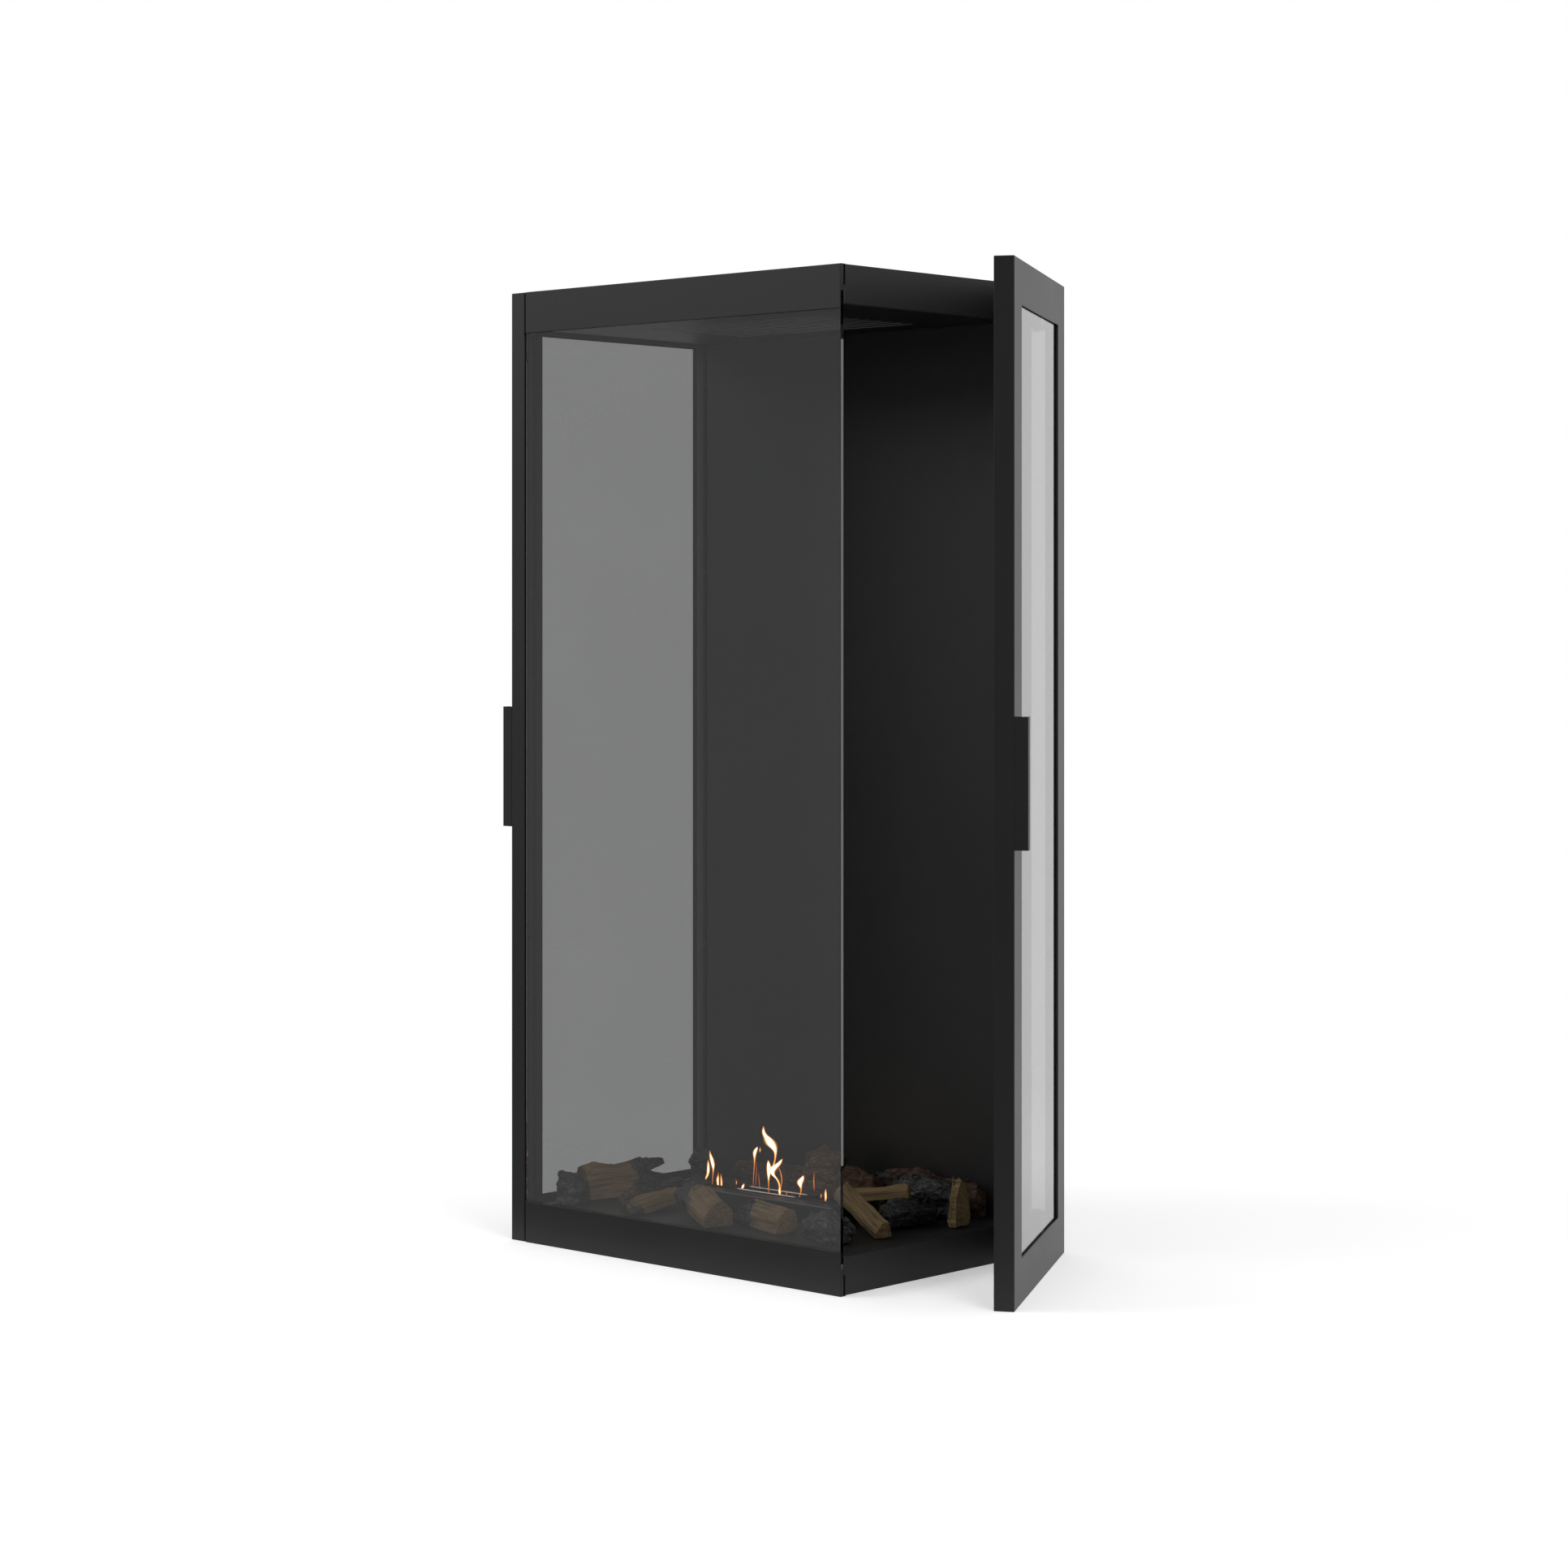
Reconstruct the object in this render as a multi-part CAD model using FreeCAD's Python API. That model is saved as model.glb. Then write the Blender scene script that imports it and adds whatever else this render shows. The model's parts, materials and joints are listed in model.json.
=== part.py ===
import FreeCAD, Part
import math
import os

Vector = FreeCAD.Vector

# Three-sided bioethanol fireplace. Millimetres, +Z up, +Y to the back, +X to the right.
# The origin is the middle of the underside. The right-hand door stands open at rest.

# Cabinet
total_height = 1500.0
rail_length = 664.0
body_depth = 476.0
sheet = 2.0
bend_radius = 2.5
side_setback = 3.5
tray_setback = 12.0
hearth_height = 58.0
hood_height = 59.0
liner_cavity = 62.0
gusset_size = 34.0
gusset_sheet = 3.0

# Front rails and fixed front glass
rail_sheet = 1.2
rail_height = 65.0
rail_edge_radius = 1.0
rail_leg = 30.0
rail_end_height = 39.0
rail_end_depth = 7.0
front_glass_thickness = 6.0
front_glass_clearance = 0.2
front_glass_edge_gap = 0.5
front_glass_chamfer = 0.4
front_glass_top_lap = 17.0
setting_strip_height = 8.0
ledge_lap = 26.0
seal_height = 9.0
seal_inset = 1.0
strip_end_gap = 6.0
magnet_width = 10.0
magnet_depth = 5.5
magnet_height = 24.0
magnet_gap = 0.5
magnet_end_inset = 8.0

# Vents in the ceiling and in the top cover
vent_count = 9
vent_pitch = 25.0
vent_length = 370.0
vent_width = 8.0
vent_centre_back = -4.0

# Rear structure
post_pocket = 26.5
post_pocket_depth = 31.0
post_rear_leg = 40.0
post_leg_gap = 2.0
liner_lip = 20.0
wall_hole_radius = 4.5
wall_hole_across = 400.0
wall_hole_height = 1100.0

# Doors
door_gap = 4.0
door_thickness = 30.0
door_front_setback = 2.0
door_rear_overhang = 6.0
door_face = 65.0
door_flange = 22.0
door_edge_radius = 1.4
door_glass_thickness = 4.0
door_glass_lap = 14.0
door_tape = 1.5
door_tape_inset = 2.0
door_open_angle = 29.4
retainer_sheet = 1.5
retainer_foot = 20.0
retainer_edge_gap = 2.0
retainer_lap_inset = 3.0
stud_radius = 2.0
stud_length = 9.0
stud_end_inset = 60.0
tall_stud_count = 5
short_stud_count = 2
nut_flats = 7.0
nut_height = 3.2

# Door handles
handle_length = 190.0
handle_reach = 20.0
handle_width = 16.0
handle_sheet = 2.0
handle_edge_radius = 1.2
handle_screw_inset = 35.0

# Pivot hinges at the foot and the head of each door
hinge_inset = 14.5
hinge_from_edge = 16.0
pin_radius = 4.0
pin_head_radius = 5.8
pin_head_height = 2.0
pin_fit = 0.02
hinge_fit = 0.05
pivot_plate = 4.0
pivot_edge_gap = 0.5
pivot_screw_inset = 7.0
pivot_gap = 0.3
knuckle_radius = 7.0
arm_thickness = 5.0
arm_width = 10.0
leaf_thickness = 3.0
leaf_height = 40.0
leaf_behind = 14.0
leaf_ahead = 5.0
leaf_screw_inset = 8.0
leaf_screw_behind = 7.0

# Burner
burner_back = -20.0
burner_slot_length = 260.0
burner_slot_width = 27.0
burner_rim_height = 91.0
rim_wall = 1.5
tank_wall = 1.5
tank_end_space = 20.0
tank_front_space = 16.5
tank_rear_space = 44.5
tank_bottom = 12.0
tank_top = 86.0
tank_flange = 6.0
tank_fit = 1.0
surround_height = 30.0
surround_gap = 2.0
surround_slot_gap = 0.8
guide_width = 11.0
guide_sheet = 1.6
guide_drop = 3.5
shutter_sheet = 1.5
shutter_width = 31.0
shutter_show = 5.5
shutter_end_gap = 2.5
shutter_lift = 0.2
shutter_hole_radius = 3.0
shutter_hole_inset = 5.0
wool_height = 56.0
wool_gap = 2.5

# Fasteners
screw_radius = 2.0
screw_fit = 0.15
screw_head_radius = 3.8
screw_head_height = 2.4
screw_socket_flats = 2.5
screw_socket_depth = 1.3
screw_grip = 9.0
flush_head_radius = 3.8
flush_head_depth = 1.8
rail_screw_count = 5
rail_screw_inset = 52.0
rail_screw_height = 20.0
liner_screw_count = 4
liner_screw_inset = 300.0
liner_screw_from_web = 16.0
rear_screw_count = 5
rear_screw_inset = 95.0
rear_tray_screw_inset = 28.0
rear_tray_screw_across = 200.0

# Logs of ceramic: typical length and thickness, and how rough and how close they lie
log_length = 150.0
log_thickness = 50.0
log_roughness_share = 0.07
log_seat_gap = 0.3

# One overrun serves all cuts
overrun = 5.0

# Places worked out from the sizes above
half_rail = rail_length / 2
half_depth = body_depth / 2
half_body = half_rail - side_setback
front_face = -half_depth
tray_front = front_face + tray_setback
tray_rear = half_depth - sheet
hearth_top = hearth_height
hood_under = total_height - hood_height
liner_face = half_depth - liner_cavity
glass_front = front_face + rail_sheet + front_glass_clearance
glass_rear = glass_front + front_glass_thickness
glass_bottom = rail_end_height + setting_strip_height
glass_top = total_height - rail_height + front_glass_top_lap
rail_leg_front = tray_front - rail_sheet
door_inner = half_rail + door_gap
door_outer = door_inner + door_thickness
door_back_of_face = door_outer - sheet
door_front = front_face + door_front_setback
door_rear = half_depth + door_rear_overhang
opening_front = door_front + door_face
opening_rear = door_rear - door_face
opening_bottom = door_face
opening_top = total_height - door_face
hinge_x = door_inner - hinge_inset
hinge_y = door_rear - hinge_from_edge
pocket_web = half_body - post_pocket
pocket_front = tray_rear - post_pocket_depth
slot_front = burner_back - burner_slot_width / 2
slot_rear = burner_back + burner_slot_width / 2
half_slot = burner_slot_length / 2
tank_front = slot_front - tank_front_space
tank_rear = slot_rear + tank_rear_space
half_tank = half_slot + tank_end_space
shutter_seat = tank_top - tank_wall - guide_drop
along_x = Vector(1, 0, 0)
along_y = Vector(0, 1, 0)
along_z = Vector(0, 0, 1)
mid_height = Vector(0, 0, total_height / 2)
mid_firebox = Vector(0, 0, (hearth_top + hood_under) / 2)


def box(x_ends, y_ends, z_ends):
    low = Vector(min(x_ends), min(y_ends), min(z_ends))
    high = Vector(max(x_ends), max(y_ends), max(z_ends))
    size = high - low
    return Part.makeBox(size.x, size.y, size.z, low)


def spread(first, last, count):
    step = (last - first) / max(count - 1, 1)
    return [first + step * index for index in range(count)]


def joined(shapes):
    return shapes[0].multiFuse(shapes[1:]).removeSplitter()


def mirrored(shape):
    return shape.mirror(Vector(), along_x)


def flipped(shape):
    return shape.mirror(mid_height, along_z)


def at_both_ends(shape):
    return [shape, shape.mirror(mid_firebox, along_z)]


def rounded(shape, radius, wanted):
    edges = [edge for edge in shape.Edges if wanted(edge.BoundBox)]
    return shape.makeFillet(radius, edges)


def placed(shape, point, direction):
    copy = shape.copy()
    copy.Placement = FreeCAD.Placement(point, FreeCAD.Rotation(along_z, direction))
    return copy


def hexagon(flats, height):
    corner = flats / math.sqrt(3)
    points = [Vector(corner, 0, 0)]
    for turn in range(60, 361, 60):
        angle = math.radians(turn)
        points.append(Vector(corner * math.cos(angle), corner * math.sin(angle), 0))
    return Part.Face(Part.makePolygon(points)).extrude(along_z * height)


def hole(point, direction, radius):
    start = point - direction * screw_grip
    return Part.makeCylinder(radius, screw_grip + screw_grip, start, direction)


# Screws: the seat is under a pan head, and on the face of a flush one
def pan_screw(seat, direction, grip=screw_grip):
    shank = Part.makeCylinder(screw_radius, grip)
    head = Part.makeCylinder(screw_head_radius, screw_head_height)
    head.translate(Vector(0, 0, -screw_head_height))
    socket = hexagon(screw_socket_flats, screw_socket_depth)
    socket.translate(Vector(0, 0, -screw_head_height))
    return placed(joined([shank, head]).cut(socket), seat, direction)


def flush_screw(seat, direction):
    cone = Part.makeCone(flush_head_radius, screw_radius, flush_head_depth)
    shank = Part.makeCylinder(screw_radius, screw_grip)
    socket = hexagon(screw_socket_flats, screw_socket_depth)
    return placed(joined([shank, cone]).cut(socket), seat, direction)


def flush_hole(seat, direction):
    wide = flush_head_radius + screw_fit
    narrow = screw_radius + screw_fit
    sink = placed(Part.makeCone(wide, narrow, flush_head_depth), seat, direction)
    return sink.fuse(hole(seat, direction, narrow))


def drilled(shape, places, direction):
    tools = [hole(place, direction, screw_radius + screw_fit) for place in places]
    return shape.cut(tools)


# Screw places
def rail_screw_places(height):
    across = spread(-half_rail + rail_screw_inset, half_rail - rail_screw_inset, rail_screw_count)
    return [Vector(x, tray_front + sheet, height) for x in across]


def liner_screw_places():
    x = pocket_web + liner_screw_from_web
    heights = spread(liner_screw_inset, total_height - liner_screw_inset, liner_screw_count)
    return [Vector(x, pocket_front + sheet, z) for z in heights]


def pivot_screw_places(side):
    x = pocket_web + sheet + pivot_screw_inset
    front = pocket_front + sheet + pivot_edge_gap + pivot_screw_inset
    rear = tray_rear - pivot_edge_gap - pivot_screw_inset
    return [Vector(side * x, y, hearth_top + pivot_plate) for y in (front, rear)]


def rear_screw_places():
    x = pocket_web - post_rear_leg / 2
    heights = spread(hearth_top + rear_screw_inset, hood_under - rear_screw_inset, rear_screw_count)
    sides = [Vector(side * x, half_depth, z) for z in heights for side in (-1, 1)]
    across = (-rear_tray_screw_across, 0, rear_tray_screw_across)
    ends = (rear_tray_screw_inset, total_height - rear_tray_screw_inset)
    return sides + [Vector(x, half_depth, z) for z in ends for x in across]


def cover_screw_places(height):
    x = half_body - sheet - gusset_size / 2
    ends = (tray_front + sheet + gusset_size / 2, tray_rear - sheet - gusset_size / 2)
    return [Vector(side * x, y, height) for y in ends for side in (-1, 1)]


# Bent trays: the hearth, and upside down the hood
def plain_tray(height):
    outer = box((-half_body, half_body), (tray_front, tray_rear), (sheet, height))
    inner = box(
        (-half_body + sheet, half_body - sheet),
        (tray_front + sheet, tray_rear - sheet),
        (0, height - sheet),
    )
    bent = rounded(outer, bend_radius, lambda b: b.ZMax > height - sheet)
    tray = bent.cut(inner)
    gussets = []
    for place in cover_screw_places(sheet):
        half = gusset_size / 2
        gussets.append(
            box(
                (place.x - half, place.x + half),
                (place.y - half, place.y + half),
                (sheet, sheet + gusset_sheet),
            )
        )
    tray = joined([tray] + gussets)
    tray = drilled(tray, cover_screw_places(sheet), along_z)
    tray = drilled(tray, rail_screw_places(rail_screw_height), along_y)
    tray = drilled(tray, pivot_screw_places(-1) + pivot_screw_places(1), along_z)
    low_rear = [place for place in rear_screw_places() if place.z < hearth_top]
    return drilled(tray, low_rear, along_y)


def hearth_tray():
    cut_out = box(
        (-half_tank - tank_fit, half_tank + tank_fit),
        (tank_front - tank_fit, tank_rear + tank_fit),
        (0, hearth_height + overrun),
    )
    return plain_tray(hearth_height).cut(cut_out)


def vent_slots(low, high):
    straight = vent_length / 2 - vent_width / 2
    reach = vent_pitch * (vent_count - 1) / 2
    slots = []
    for y in spread(vent_centre_back - reach, vent_centre_back + reach, vent_count):
        half = vent_width / 2
        slots.append(box((-straight, straight), (y - half, y + half), (low, high)))
        for x in (-straight, straight):
            slots.append(Part.makeCylinder(half, high - low, Vector(x, y, low)))
    return slots


def ceiling_tray():
    tray = flipped(plain_tray(hood_height))
    return tray.cut(vent_slots(hood_under - overrun, hood_under + overrun))


def cover_plate():
    plate = box((-half_body, half_body), (tray_front, tray_rear), (0, sheet))
    return plate.cut([flush_hole(place, along_z) for place in cover_screw_places(0)])


def top_cover():
    slots = vent_slots(total_height - overrun, total_height + overrun)
    return flipped(cover_plate()).cut(slots)


def cover_screws():
    base = [flush_screw(place, along_z) for place in cover_screw_places(0)]
    top = [flipped(screw) for screw in base]
    rear = [flush_screw(place, -along_y) for place in rear_screw_places()]
    return Part.makeCompound(base + top + rear)


# Rear structure
def back_liner():
    outer = box((-half_body, half_body), (liner_face, pocket_front), (hearth_top, hood_under))
    outer = rounded(outer, bend_radius, lambda b: b.YMax < pocket_front and b.XLength == b.YLength)
    inner = box(
        (-half_body + sheet, half_body - sheet),
        (liner_face + sheet, pocket_front - sheet),
        (hearth_top - overrun, hood_under + overrun),
    )
    back = half_body - sheet - liner_lip
    mouth = box((-back, back), (liner_face + sheet, pocket_front + overrun), (0, total_height))
    liner = outer.cut([inner, mouth])
    right = liner_screw_places()
    left = [Vector(-place.x, place.y, place.z) for place in right]
    return drilled(liner, right + left, along_y)


def rear_post():
    rise = (hearth_top, hood_under)
    inner_end = pocket_web + sheet - post_rear_leg
    post = joined(
        [
            box((pocket_web, half_body - post_leg_gap), (pocket_front, pocket_front + sheet), rise),
            box((pocket_web, pocket_web + sheet), (pocket_front, tray_rear), rise),
            box((inner_end, pocket_web + sheet), (tray_rear - sheet, tray_rear), rise),
        ]
    )
    post = drilled(post, liner_screw_places(), along_y)
    return drilled(post, rear_screw_places(), along_y)


def rear_cover():
    edge = pocket_web + sheet
    cover = box((-edge, edge), (tray_rear, half_depth), (0, total_height))
    cover = cover.cut([flush_hole(place, -along_y) for place in rear_screw_places()])
    fixings = []
    for x in (-wall_hole_across / 2, wall_hole_across / 2):
        for rise in (-wall_hole_height / 2, wall_hole_height / 2):
            fixings.append(hole(Vector(x, tray_rear, total_height / 2 + rise), along_y, wall_hole_radius))
    return cover.cut(fixings)


# Front rails, glass and what holds the glass
def front_bottom_rail():
    outer = box((-half_rail, half_rail), (front_face, tray_front), (0, rail_height))
    outer = rounded(outer, rail_edge_radius, lambda b: b.YMax < tray_front)
    channel = box(
        (-half_rail - overrun, half_rail + overrun),
        (front_face + rail_sheet, rail_leg_front),
        (rail_sheet, rail_height + overrun),
    )
    above_leg = box(
        (-half_rail - overrun, half_rail + overrun),
        (front_face + rail_sheet, tray_front + overrun),
        (rail_leg, rail_height + overrun),
    )
    rail = outer.cut([channel, above_leg])
    ends = []
    for side in (-1, 1):
        ends.append(
            box(
                (side * half_rail, side * (half_rail - rail_sheet)),
                (front_face + rail_sheet, front_face + rail_end_depth),
                (rail_edge_radius, rail_end_height),
            )
        )
    rail = joined([rail] + ends)
    return drilled(rail, rail_screw_places(rail_screw_height), along_y)


def glass_support_angle():
    across = (-half_rail + strip_end_gap, half_rail - strip_end_gap)
    leg_front = rail_leg_front - sheet
    leg = box(across, (leg_front, rail_leg_front), (rail_end_height - ledge_lap, rail_end_height))
    ledge = box(across, (glass_front, rail_leg_front), (rail_end_height - sheet, rail_end_height))
    return drilled(joined([leg, ledge]), rail_screw_places(rail_screw_height), along_y)


def glass_setting_strip():
    across = (-half_rail + front_glass_edge_gap, half_rail - front_glass_edge_gap)
    return box(across, (glass_front, glass_rear), (rail_end_height, glass_bottom))


def front_glass():
    across = (-half_rail + front_glass_edge_gap, half_rail - front_glass_edge_gap)
    pane = box(across, (glass_front, glass_rear), (glass_bottom, glass_top))
    upright = [edge for edge in pane.Edges if edge.BoundBox.ZLength > rail_height]
    return pane.makeChamfer(front_glass_chamfer, upright)


def glass_seals():
    across = (-half_rail + strip_end_gap, half_rail - strip_end_gap)
    low = box(across, (glass_rear, tray_front), (glass_bottom + seal_inset, glass_bottom + seal_inset + seal_height))
    high = box(across, (glass_rear, tray_front), (glass_top - seal_inset - seal_height, glass_top - seal_inset))
    return Part.makeCompound([low, high])


def cabinet_screws():
    rails = []
    for place in rail_screw_places(rail_screw_height):
        screw = pan_screw(place, -along_y)
        rails.extend([screw, flipped(screw)])
    right = [pan_screw(place, -along_y) for place in liner_screw_places()]
    for place in pivot_screw_places(1):
        right.extend(at_both_ends(flush_screw(place, -along_z)))
    return Part.makeCompound(rails + right + [mirrored(screw) for screw in right])


# Catch magnets behind the ends of the rails, right-hand side
def catch_magnets():
    end = half_rail - rail_sheet
    front = front_face + rail_sheet + magnet_gap
    low = box(
        (end - magnet_width, end),
        (front, front + magnet_depth),
        (magnet_end_inset, magnet_end_inset + magnet_height),
    )
    return Part.makeCompound([low, flipped(low)])


# Hinges, right-hand side with the door shut
def hinge_brackets():
    plate = box(
        (pocket_web + sheet, half_body - pivot_edge_gap),
        (pocket_front + sheet + pivot_edge_gap, tray_rear - pivot_edge_gap),
        (hearth_top, hearth_top + pivot_plate),
    )
    tools = [flush_hole(place, -along_z) for place in pivot_screw_places(1)]
    tools.append(Part.makeCylinder(pin_radius + pin_fit, pivot_plate, Vector(hinge_x, hinge_y, hearth_top)))
    return Part.makeCompound(at_both_ends(plate.cut(tools)))


def hinge_pins():
    reach = pivot_plate + pivot_gap + arm_thickness + pivot_gap
    shank = Part.makeCylinder(pin_radius, reach, Vector(hinge_x, hinge_y, hearth_top))
    head = Part.makeCylinder(pin_head_radius, pin_head_height, Vector(hinge_x, hinge_y, hearth_top + reach))
    pins = at_both_ends(joined([shank, head]))
    return Part.makeCompound(pins + [mirrored(pin) for pin in pins])


def arm_ends():
    low = hearth_top + pivot_plate + pivot_gap
    return low, low + arm_thickness


def leaf_screw_places():
    top = arm_ends()[1]
    x = door_inner - leaf_thickness
    y = hinge_y + leaf_screw_behind
    heights = (top - leaf_height + leaf_screw_inset, top - leaf_screw_inset)
    return [Vector(x, y, z) for z in heights]


def hinge_arms():
    low, high = arm_ends()
    foot = Vector(hinge_x, hinge_y, low)
    knuckle = Part.makeCylinder(knuckle_radius, arm_thickness, foot)
    web = box(
        (hinge_x, door_inner - leaf_thickness),
        (hinge_y - arm_width / 2, hinge_y + arm_width / 2),
        (low, high),
    )
    leaf = box(
        (door_inner - leaf_thickness, door_inner),
        (hinge_y - leaf_ahead, hinge_y + leaf_behind),
        (high - leaf_height, high),
    )
    tools = [flush_hole(place, along_x) for place in leaf_screw_places()]
    tools.append(Part.makeCylinder(pin_radius + hinge_fit, arm_thickness, foot))
    return Part.makeCompound(at_both_ends(joined([knuckle, web, leaf]).cut(tools)))


# Door, right-hand side and shut
def around_opening(x_ends, outer_grow, inner_grow):
    rings = []
    for grow in (outer_grow, inner_grow):
        rings.append(
            box(
                x_ends,
                (opening_front - grow, opening_rear + grow),
                (opening_bottom - grow, opening_top + grow),
            )
        )
    return rings[0].cut(rings[1])


def stud_places():
    away = door_glass_lap + retainer_edge_gap + retainer_foot / 2
    heights = spread(opening_bottom + stud_end_inset, opening_top - stud_end_inset, tall_stud_count)
    across = spread(opening_front + stud_end_inset, opening_rear - stud_end_inset, short_stud_count)
    places = []
    for z in heights:
        places.append(Vector(door_back_of_face, opening_front - away, z))
        places.append(Vector(door_back_of_face, opening_rear + away, z))
    for y in across:
        places.append(Vector(door_back_of_face, y, opening_bottom - away))
        places.append(Vector(door_back_of_face, y, opening_top + away))
    return places


def handle_screw_places():
    reach = handle_length / 2 - handle_screw_inset
    y = door_front + handle_width / 2
    return [Vector(door_back_of_face, y, total_height / 2 + side * reach) for side in (-1, 1)]


def door_frame():
    outer = box((door_inner, door_outer), (door_front, door_rear), (0, total_height))
    outer = rounded(outer, door_edge_radius, lambda b: True)
    inside = box(
        (door_inner + sheet, door_back_of_face),
        (door_front + sheet, door_rear - sheet),
        (sheet, total_height - sheet),
    )
    window = box(
        (door_back_of_face - overrun, door_outer + overrun),
        (opening_front, opening_rear),
        (opening_bottom, opening_top),
    )
    rear_mouth = box(
        (door_inner - overrun, door_inner + sheet + overrun),
        (door_front + door_flange, door_rear - door_flange),
        (door_flange, total_height - door_flange),
    )
    frame = outer.cut([inside, window, rear_mouth])
    studs = [Part.makeCylinder(stud_radius, stud_length, place, -along_x) for place in stud_places()]
    frame = frame.multiFuse(studs)
    for place in leaf_screw_places():
        frame = frame.cut(at_both_ends(hole(place, along_x, screw_radius + screw_fit)))
    return drilled(frame, handle_screw_places(), along_x)


def door_glass():
    x_ends = (door_back_of_face - door_tape - door_glass_thickness, door_back_of_face - door_tape)
    return box(
        x_ends,
        (opening_front - door_glass_lap, opening_rear + door_glass_lap),
        (opening_bottom - door_glass_lap, opening_top + door_glass_lap),
    )


def door_tape_ring():
    x_ends = (door_back_of_face - door_tape, door_back_of_face)
    return around_opening(x_ends, door_glass_lap - door_tape_inset, door_tape_inset)


def retainer_boxes():
    glass_back = door_back_of_face - door_tape - door_glass_thickness
    riser = door_glass_lap + retainer_edge_gap
    foot = (door_back_of_face - retainer_sheet, door_back_of_face)
    lip = (glass_back - retainer_sheet, glass_back)
    wall = (glass_back - retainer_sheet, door_back_of_face)
    return (
        (foot, riser, riser + retainer_foot),
        (wall, riser, riser + retainer_sheet),
        (lip, retainer_lap_inset, riser + retainer_sheet),
    )


def glass_retainers():
    strips = []
    tall = (opening_bottom, opening_top)
    wide = (opening_front - door_glass_lap, opening_rear + door_glass_lap)
    for edge, side in ((opening_front, -1), (opening_rear, 1)):
        layers = [box(x, (edge + side * a, edge + side * b), tall) for x, a, b in retainer_boxes()]
        strips.append(joined(layers))
    for edge, side in ((opening_bottom, -1), (opening_top, 1)):
        layers = [box(x, wide, (edge + side * a, edge + side * b)) for x, a, b in retainer_boxes()]
        strips.append(joined(layers))
    tools = [hole(place, along_x, stud_radius + screw_fit) for place in stud_places()]
    return Part.makeCompound([strip.cut(tools) for strip in strips])


def retainer_nuts():
    bore = Part.makeCylinder(stud_radius + screw_fit, nut_height)
    nut = hexagon(nut_flats, nut_height).cut(bore)
    seat = Vector(retainer_sheet, 0, 0)
    return Part.makeCompound([placed(nut, place - seat, -along_x) for place in stud_places()])


def door_handle():
    z_ends = (total_height / 2 - handle_length / 2, total_height / 2 + handle_length / 2)
    outer = box((door_outer, door_outer + handle_reach), (door_front, door_front + handle_width), z_ends)
    corner = door_outer + handle_reach - handle_sheet
    outer = rounded(outer, handle_edge_radius, lambda b: b.XMin > corner and b.YMax < door_front + handle_sheet)
    gap = box(
        (door_outer + handle_sheet, corner),
        (door_front + handle_sheet, door_front + handle_width + overrun),
        (0, total_height),
    )
    return drilled(outer.cut(gap), handle_screw_places(), along_x)


def door_screws():
    handle_grip = sheet + handle_sheet
    handle = [pan_screw(place, along_x, handle_grip) for place in handle_screw_places()]
    leaves = []
    for place in leaf_screw_places():
        leaves.extend(at_both_ends(flush_screw(place, along_x)))
    return Part.makeCompound(handle + leaves)


door_makers = {
    "door_frame": door_frame,
    "door_glass": door_glass,
    "door_glass_tape": door_tape_ring,
    "door_glass_retainers": glass_retainers,
    "door_retainer_nuts": retainer_nuts,
    "door_handle": door_handle,
    "door_screws": door_screws,
    "door_hinge_arms": hinge_arms,
}


# Burner
def burner_tank():
    body = box((-half_tank, half_tank), (tank_front, tank_rear), (tank_bottom, tank_top))
    flange = box(
        (-half_tank - tank_flange, half_tank + tank_flange),
        (tank_front - tank_flange, tank_rear + tank_flange),
        (hearth_top, hearth_top + tank_wall),
    )
    rim = box(
        (-half_slot - rim_wall, half_slot + rim_wall),
        (slot_front - rim_wall, slot_rear + rim_wall),
        (tank_top, burner_rim_height),
    )
    space = box(
        (-half_tank + tank_wall, half_tank - tank_wall),
        (tank_front + tank_wall, tank_rear - tank_wall),
        (tank_bottom + tank_wall, tank_top - tank_wall),
    )
    slot = box((-half_slot, half_slot), (slot_front, slot_rear), (hearth_top, burner_rim_height + overrun))
    guides = []
    for side in (-1, 1):
        guides.append(
            box(
                (side * (half_tank - tank_wall), side * (half_tank - tank_wall - guide_width)),
                (tank_front + tank_wall, tank_rear - tank_wall),
                (shutter_seat - guide_sheet, shutter_seat),
            )
        )
    return joined([joined([body, flange, rim]).cut([space, slot])] + guides)


def burner_surround():
    outside = half_tank + tank_flange + surround_gap + sheet
    front = tank_front - tank_flange - surround_gap - sheet
    rear = tank_rear + tank_flange + surround_gap + sheet
    top = hearth_top + surround_height
    outer = box((-outside, outside), (front, rear), (hearth_top, top))
    outer = rounded(outer, bend_radius, lambda b: b.ZMax > top - sheet)
    inner = box((-outside + sheet, outside - sheet), (front + sheet, rear - sheet), (0, top - sheet))
    grow = rim_wall + surround_slot_gap
    slot = box((-half_slot - grow, half_slot + grow), (slot_front - grow, slot_rear + grow), (0, top + overrun))
    return outer.cut([inner, slot])


def burner_shutter():
    reach = half_tank - tank_wall - shutter_end_gap
    front = slot_rear - shutter_show
    z_ends = (shutter_seat + shutter_lift, shutter_seat + shutter_lift + shutter_sheet)
    plate = box((-reach, reach), (front, front + shutter_width), z_ends)
    hooks = []
    for y in (front + shutter_hole_inset, front + shutter_width - shutter_hole_inset):
        hooks.append(hole(Vector(0, y, shutter_seat), along_z, shutter_hole_radius))
    return plate.cut(hooks)


def burner_wool():
    inset = tank_wall + wool_gap
    low = tank_bottom + tank_wall
    return box(
        (-half_tank + inset, half_tank - inset),
        (tank_front + inset, tank_rear - inset),
        (low, low + wool_height),
    )


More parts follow.
